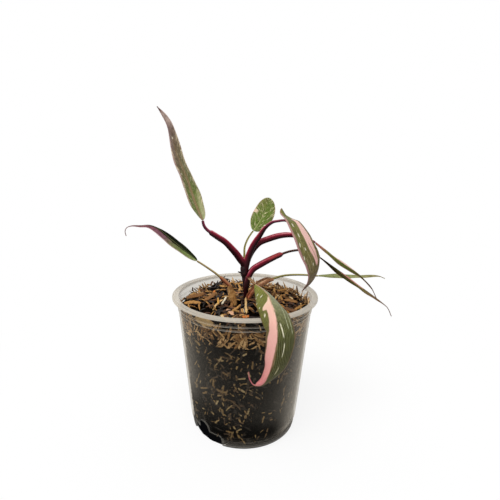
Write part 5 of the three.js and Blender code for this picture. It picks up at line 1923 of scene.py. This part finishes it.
class PLANT_OT_set_stage(bpy.types.Operator):
    """Sets the white floor, the soft light and the camera."""

    bl_idname = "plant.set_stage"
    bl_label = "Stage"

    def execute(self, context):
        settings = context.scene.stage_settings
        self.add_floor(settings)
        self.add_sky(context, settings)
        self.add_key(context, settings)
        self.add_camera(context)
        return {"FINISHED"}

    def add_floor(self, settings):
        skin = Skin("floor")
        spot = skin.node("ShaderNodeTexCoord", out="Object")
        distance = skin.node("ShaderNodeVectorMath", {"operation": "LENGTH"}, {0: spot}, out="Value")
        paper = skin.surface(base_color=tuple(settings.floor), roughness=0.9)
        glow = skin.node("ShaderNodeEmission", sockets={"Color": paint("ffffff"), "Strength": 1.0})
        share = 0.84 + 0.16 * distance.rise(0.06, 0.35)
        shader = skin.node("ShaderNodeMixShader", sockets={0: share, 1: paper, 2: glow})
        corners = ((-1, -1), (1, -1), (1, 1), (-1, 1))
        points = [(x * FLOOR_REACH, y * FLOOR_REACH, -FLOOR_DROP) for x, y in corners]
        floor = new_piece("floor", points, [(0, 1, 2, 3)], skins=[skin.close(shader)])

    def add_sky(self, context, settings):
        world = bpy.data.worlds.new("sky")
        world.use_nodes = True
        context.scene.world = world
        sky = Tree(world.node_tree)
        sky.tree.nodes.clear()
        seen = sky.node("ShaderNodeLightPath", out="Is Camera Ray")
        mirrored = sky.node("ShaderNodeLightPath", out="Is Glossy Ray")
        strength = seen.most(mirrored) * (1.0 - settings.fill) + settings.fill
        glow = sky.node("ShaderNodeBackground", sockets={"Color": paint("ffffff"), "Strength": strength})
        sky.node("ShaderNodeOutputWorld", sockets={"Surface": glow})

    def add_key(self, context, settings):
        sun = bpy.data.lights.new("key", "SUN")
        sun.energy = settings.key
        sun.angle = math.radians(SUN_SPREAD)
        lamp = bpy.data.objects.new("key", sun)
        lamp.rotation_euler = [math.radians(turn) for turn in SUN_TURN]
        context.scene.collection.objects.link(lamp)

    def add_camera(self, context):
        lens = bpy.data.cameras.new("view")
        lens.lens = CAMERA_LENS
        lens.sensor_width = CAMERA_SENSOR
        camera = bpy.data.objects.new("view", lens)
        turn = Matrix([CAMERA_RIGHT, CAMERA_UP, [-c for c in CAMERA_FORWARD]]).transposed()
        camera.matrix_world = Matrix.Translation([c * MM for c in CAMERA_PLACE]) @ turn.to_4x4()
        context.scene.collection.objects.link(camera)
        context.scene.camera = camera
        context.scene.view_settings.view_transform = "Standard"


class PLANT_PT_panel(bpy.types.Panel):
    """One button for each group of pieces."""

    bl_label = "Potted Plant"
    bl_idname = "PLANT_PT_panel"
    bl_space_type = "VIEW_3D"
    bl_region_type = "UI"
    bl_category = "Potted Plant"

    def draw(self, context):
        for operator in OPERATORS:
            self.layout.operator(operator.bl_idname)


OPERATORS = (
    PLANT_OT_build_pot,
    PLANT_OT_build_mix,
    PLANT_OT_build_mulch,
    PLANT_OT_build_roots,
    PLANT_OT_build_stem,
    PLANT_OT_build_stalks,
    PLANT_OT_build_blades,
    PLANT_OT_build_sheaths,
    PLANT_OT_set_stage,
)
SETTINGS = {
    "pot_settings": PotSettings,
    "mix_settings": MixSettings,
    "plant_settings": PlantSettings,
    "stage_settings": StageSettings,
}


def register():
    for made in (*SETTINGS.values(), *OPERATORS, PLANT_PT_panel):
        bpy.utils.register_class(made)
    for name, group in SETTINGS.items():
        setattr(bpy.types.Scene, name, PointerProperty(type=group))


def unregister():
    for name in SETTINGS:
        delattr(bpy.types.Scene, name)
    for made in reversed((*SETTINGS.values(), *OPERATORS, PLANT_PT_panel)):
        bpy.utils.unregister_class(made)


def main():
    register()
    bpy.ops.plant.build_pot()
    bpy.ops.plant.build_mix()
    bpy.ops.plant.build_mulch()
    bpy.ops.plant.build_roots()
    bpy.ops.plant.build_stem()
    bpy.ops.plant.build_stalks()
    bpy.ops.plant.build_blades()
    bpy.ops.plant.build_sheaths()
    bpy.ops.plant.set_stage()


if __name__ == "__main__":
    main()
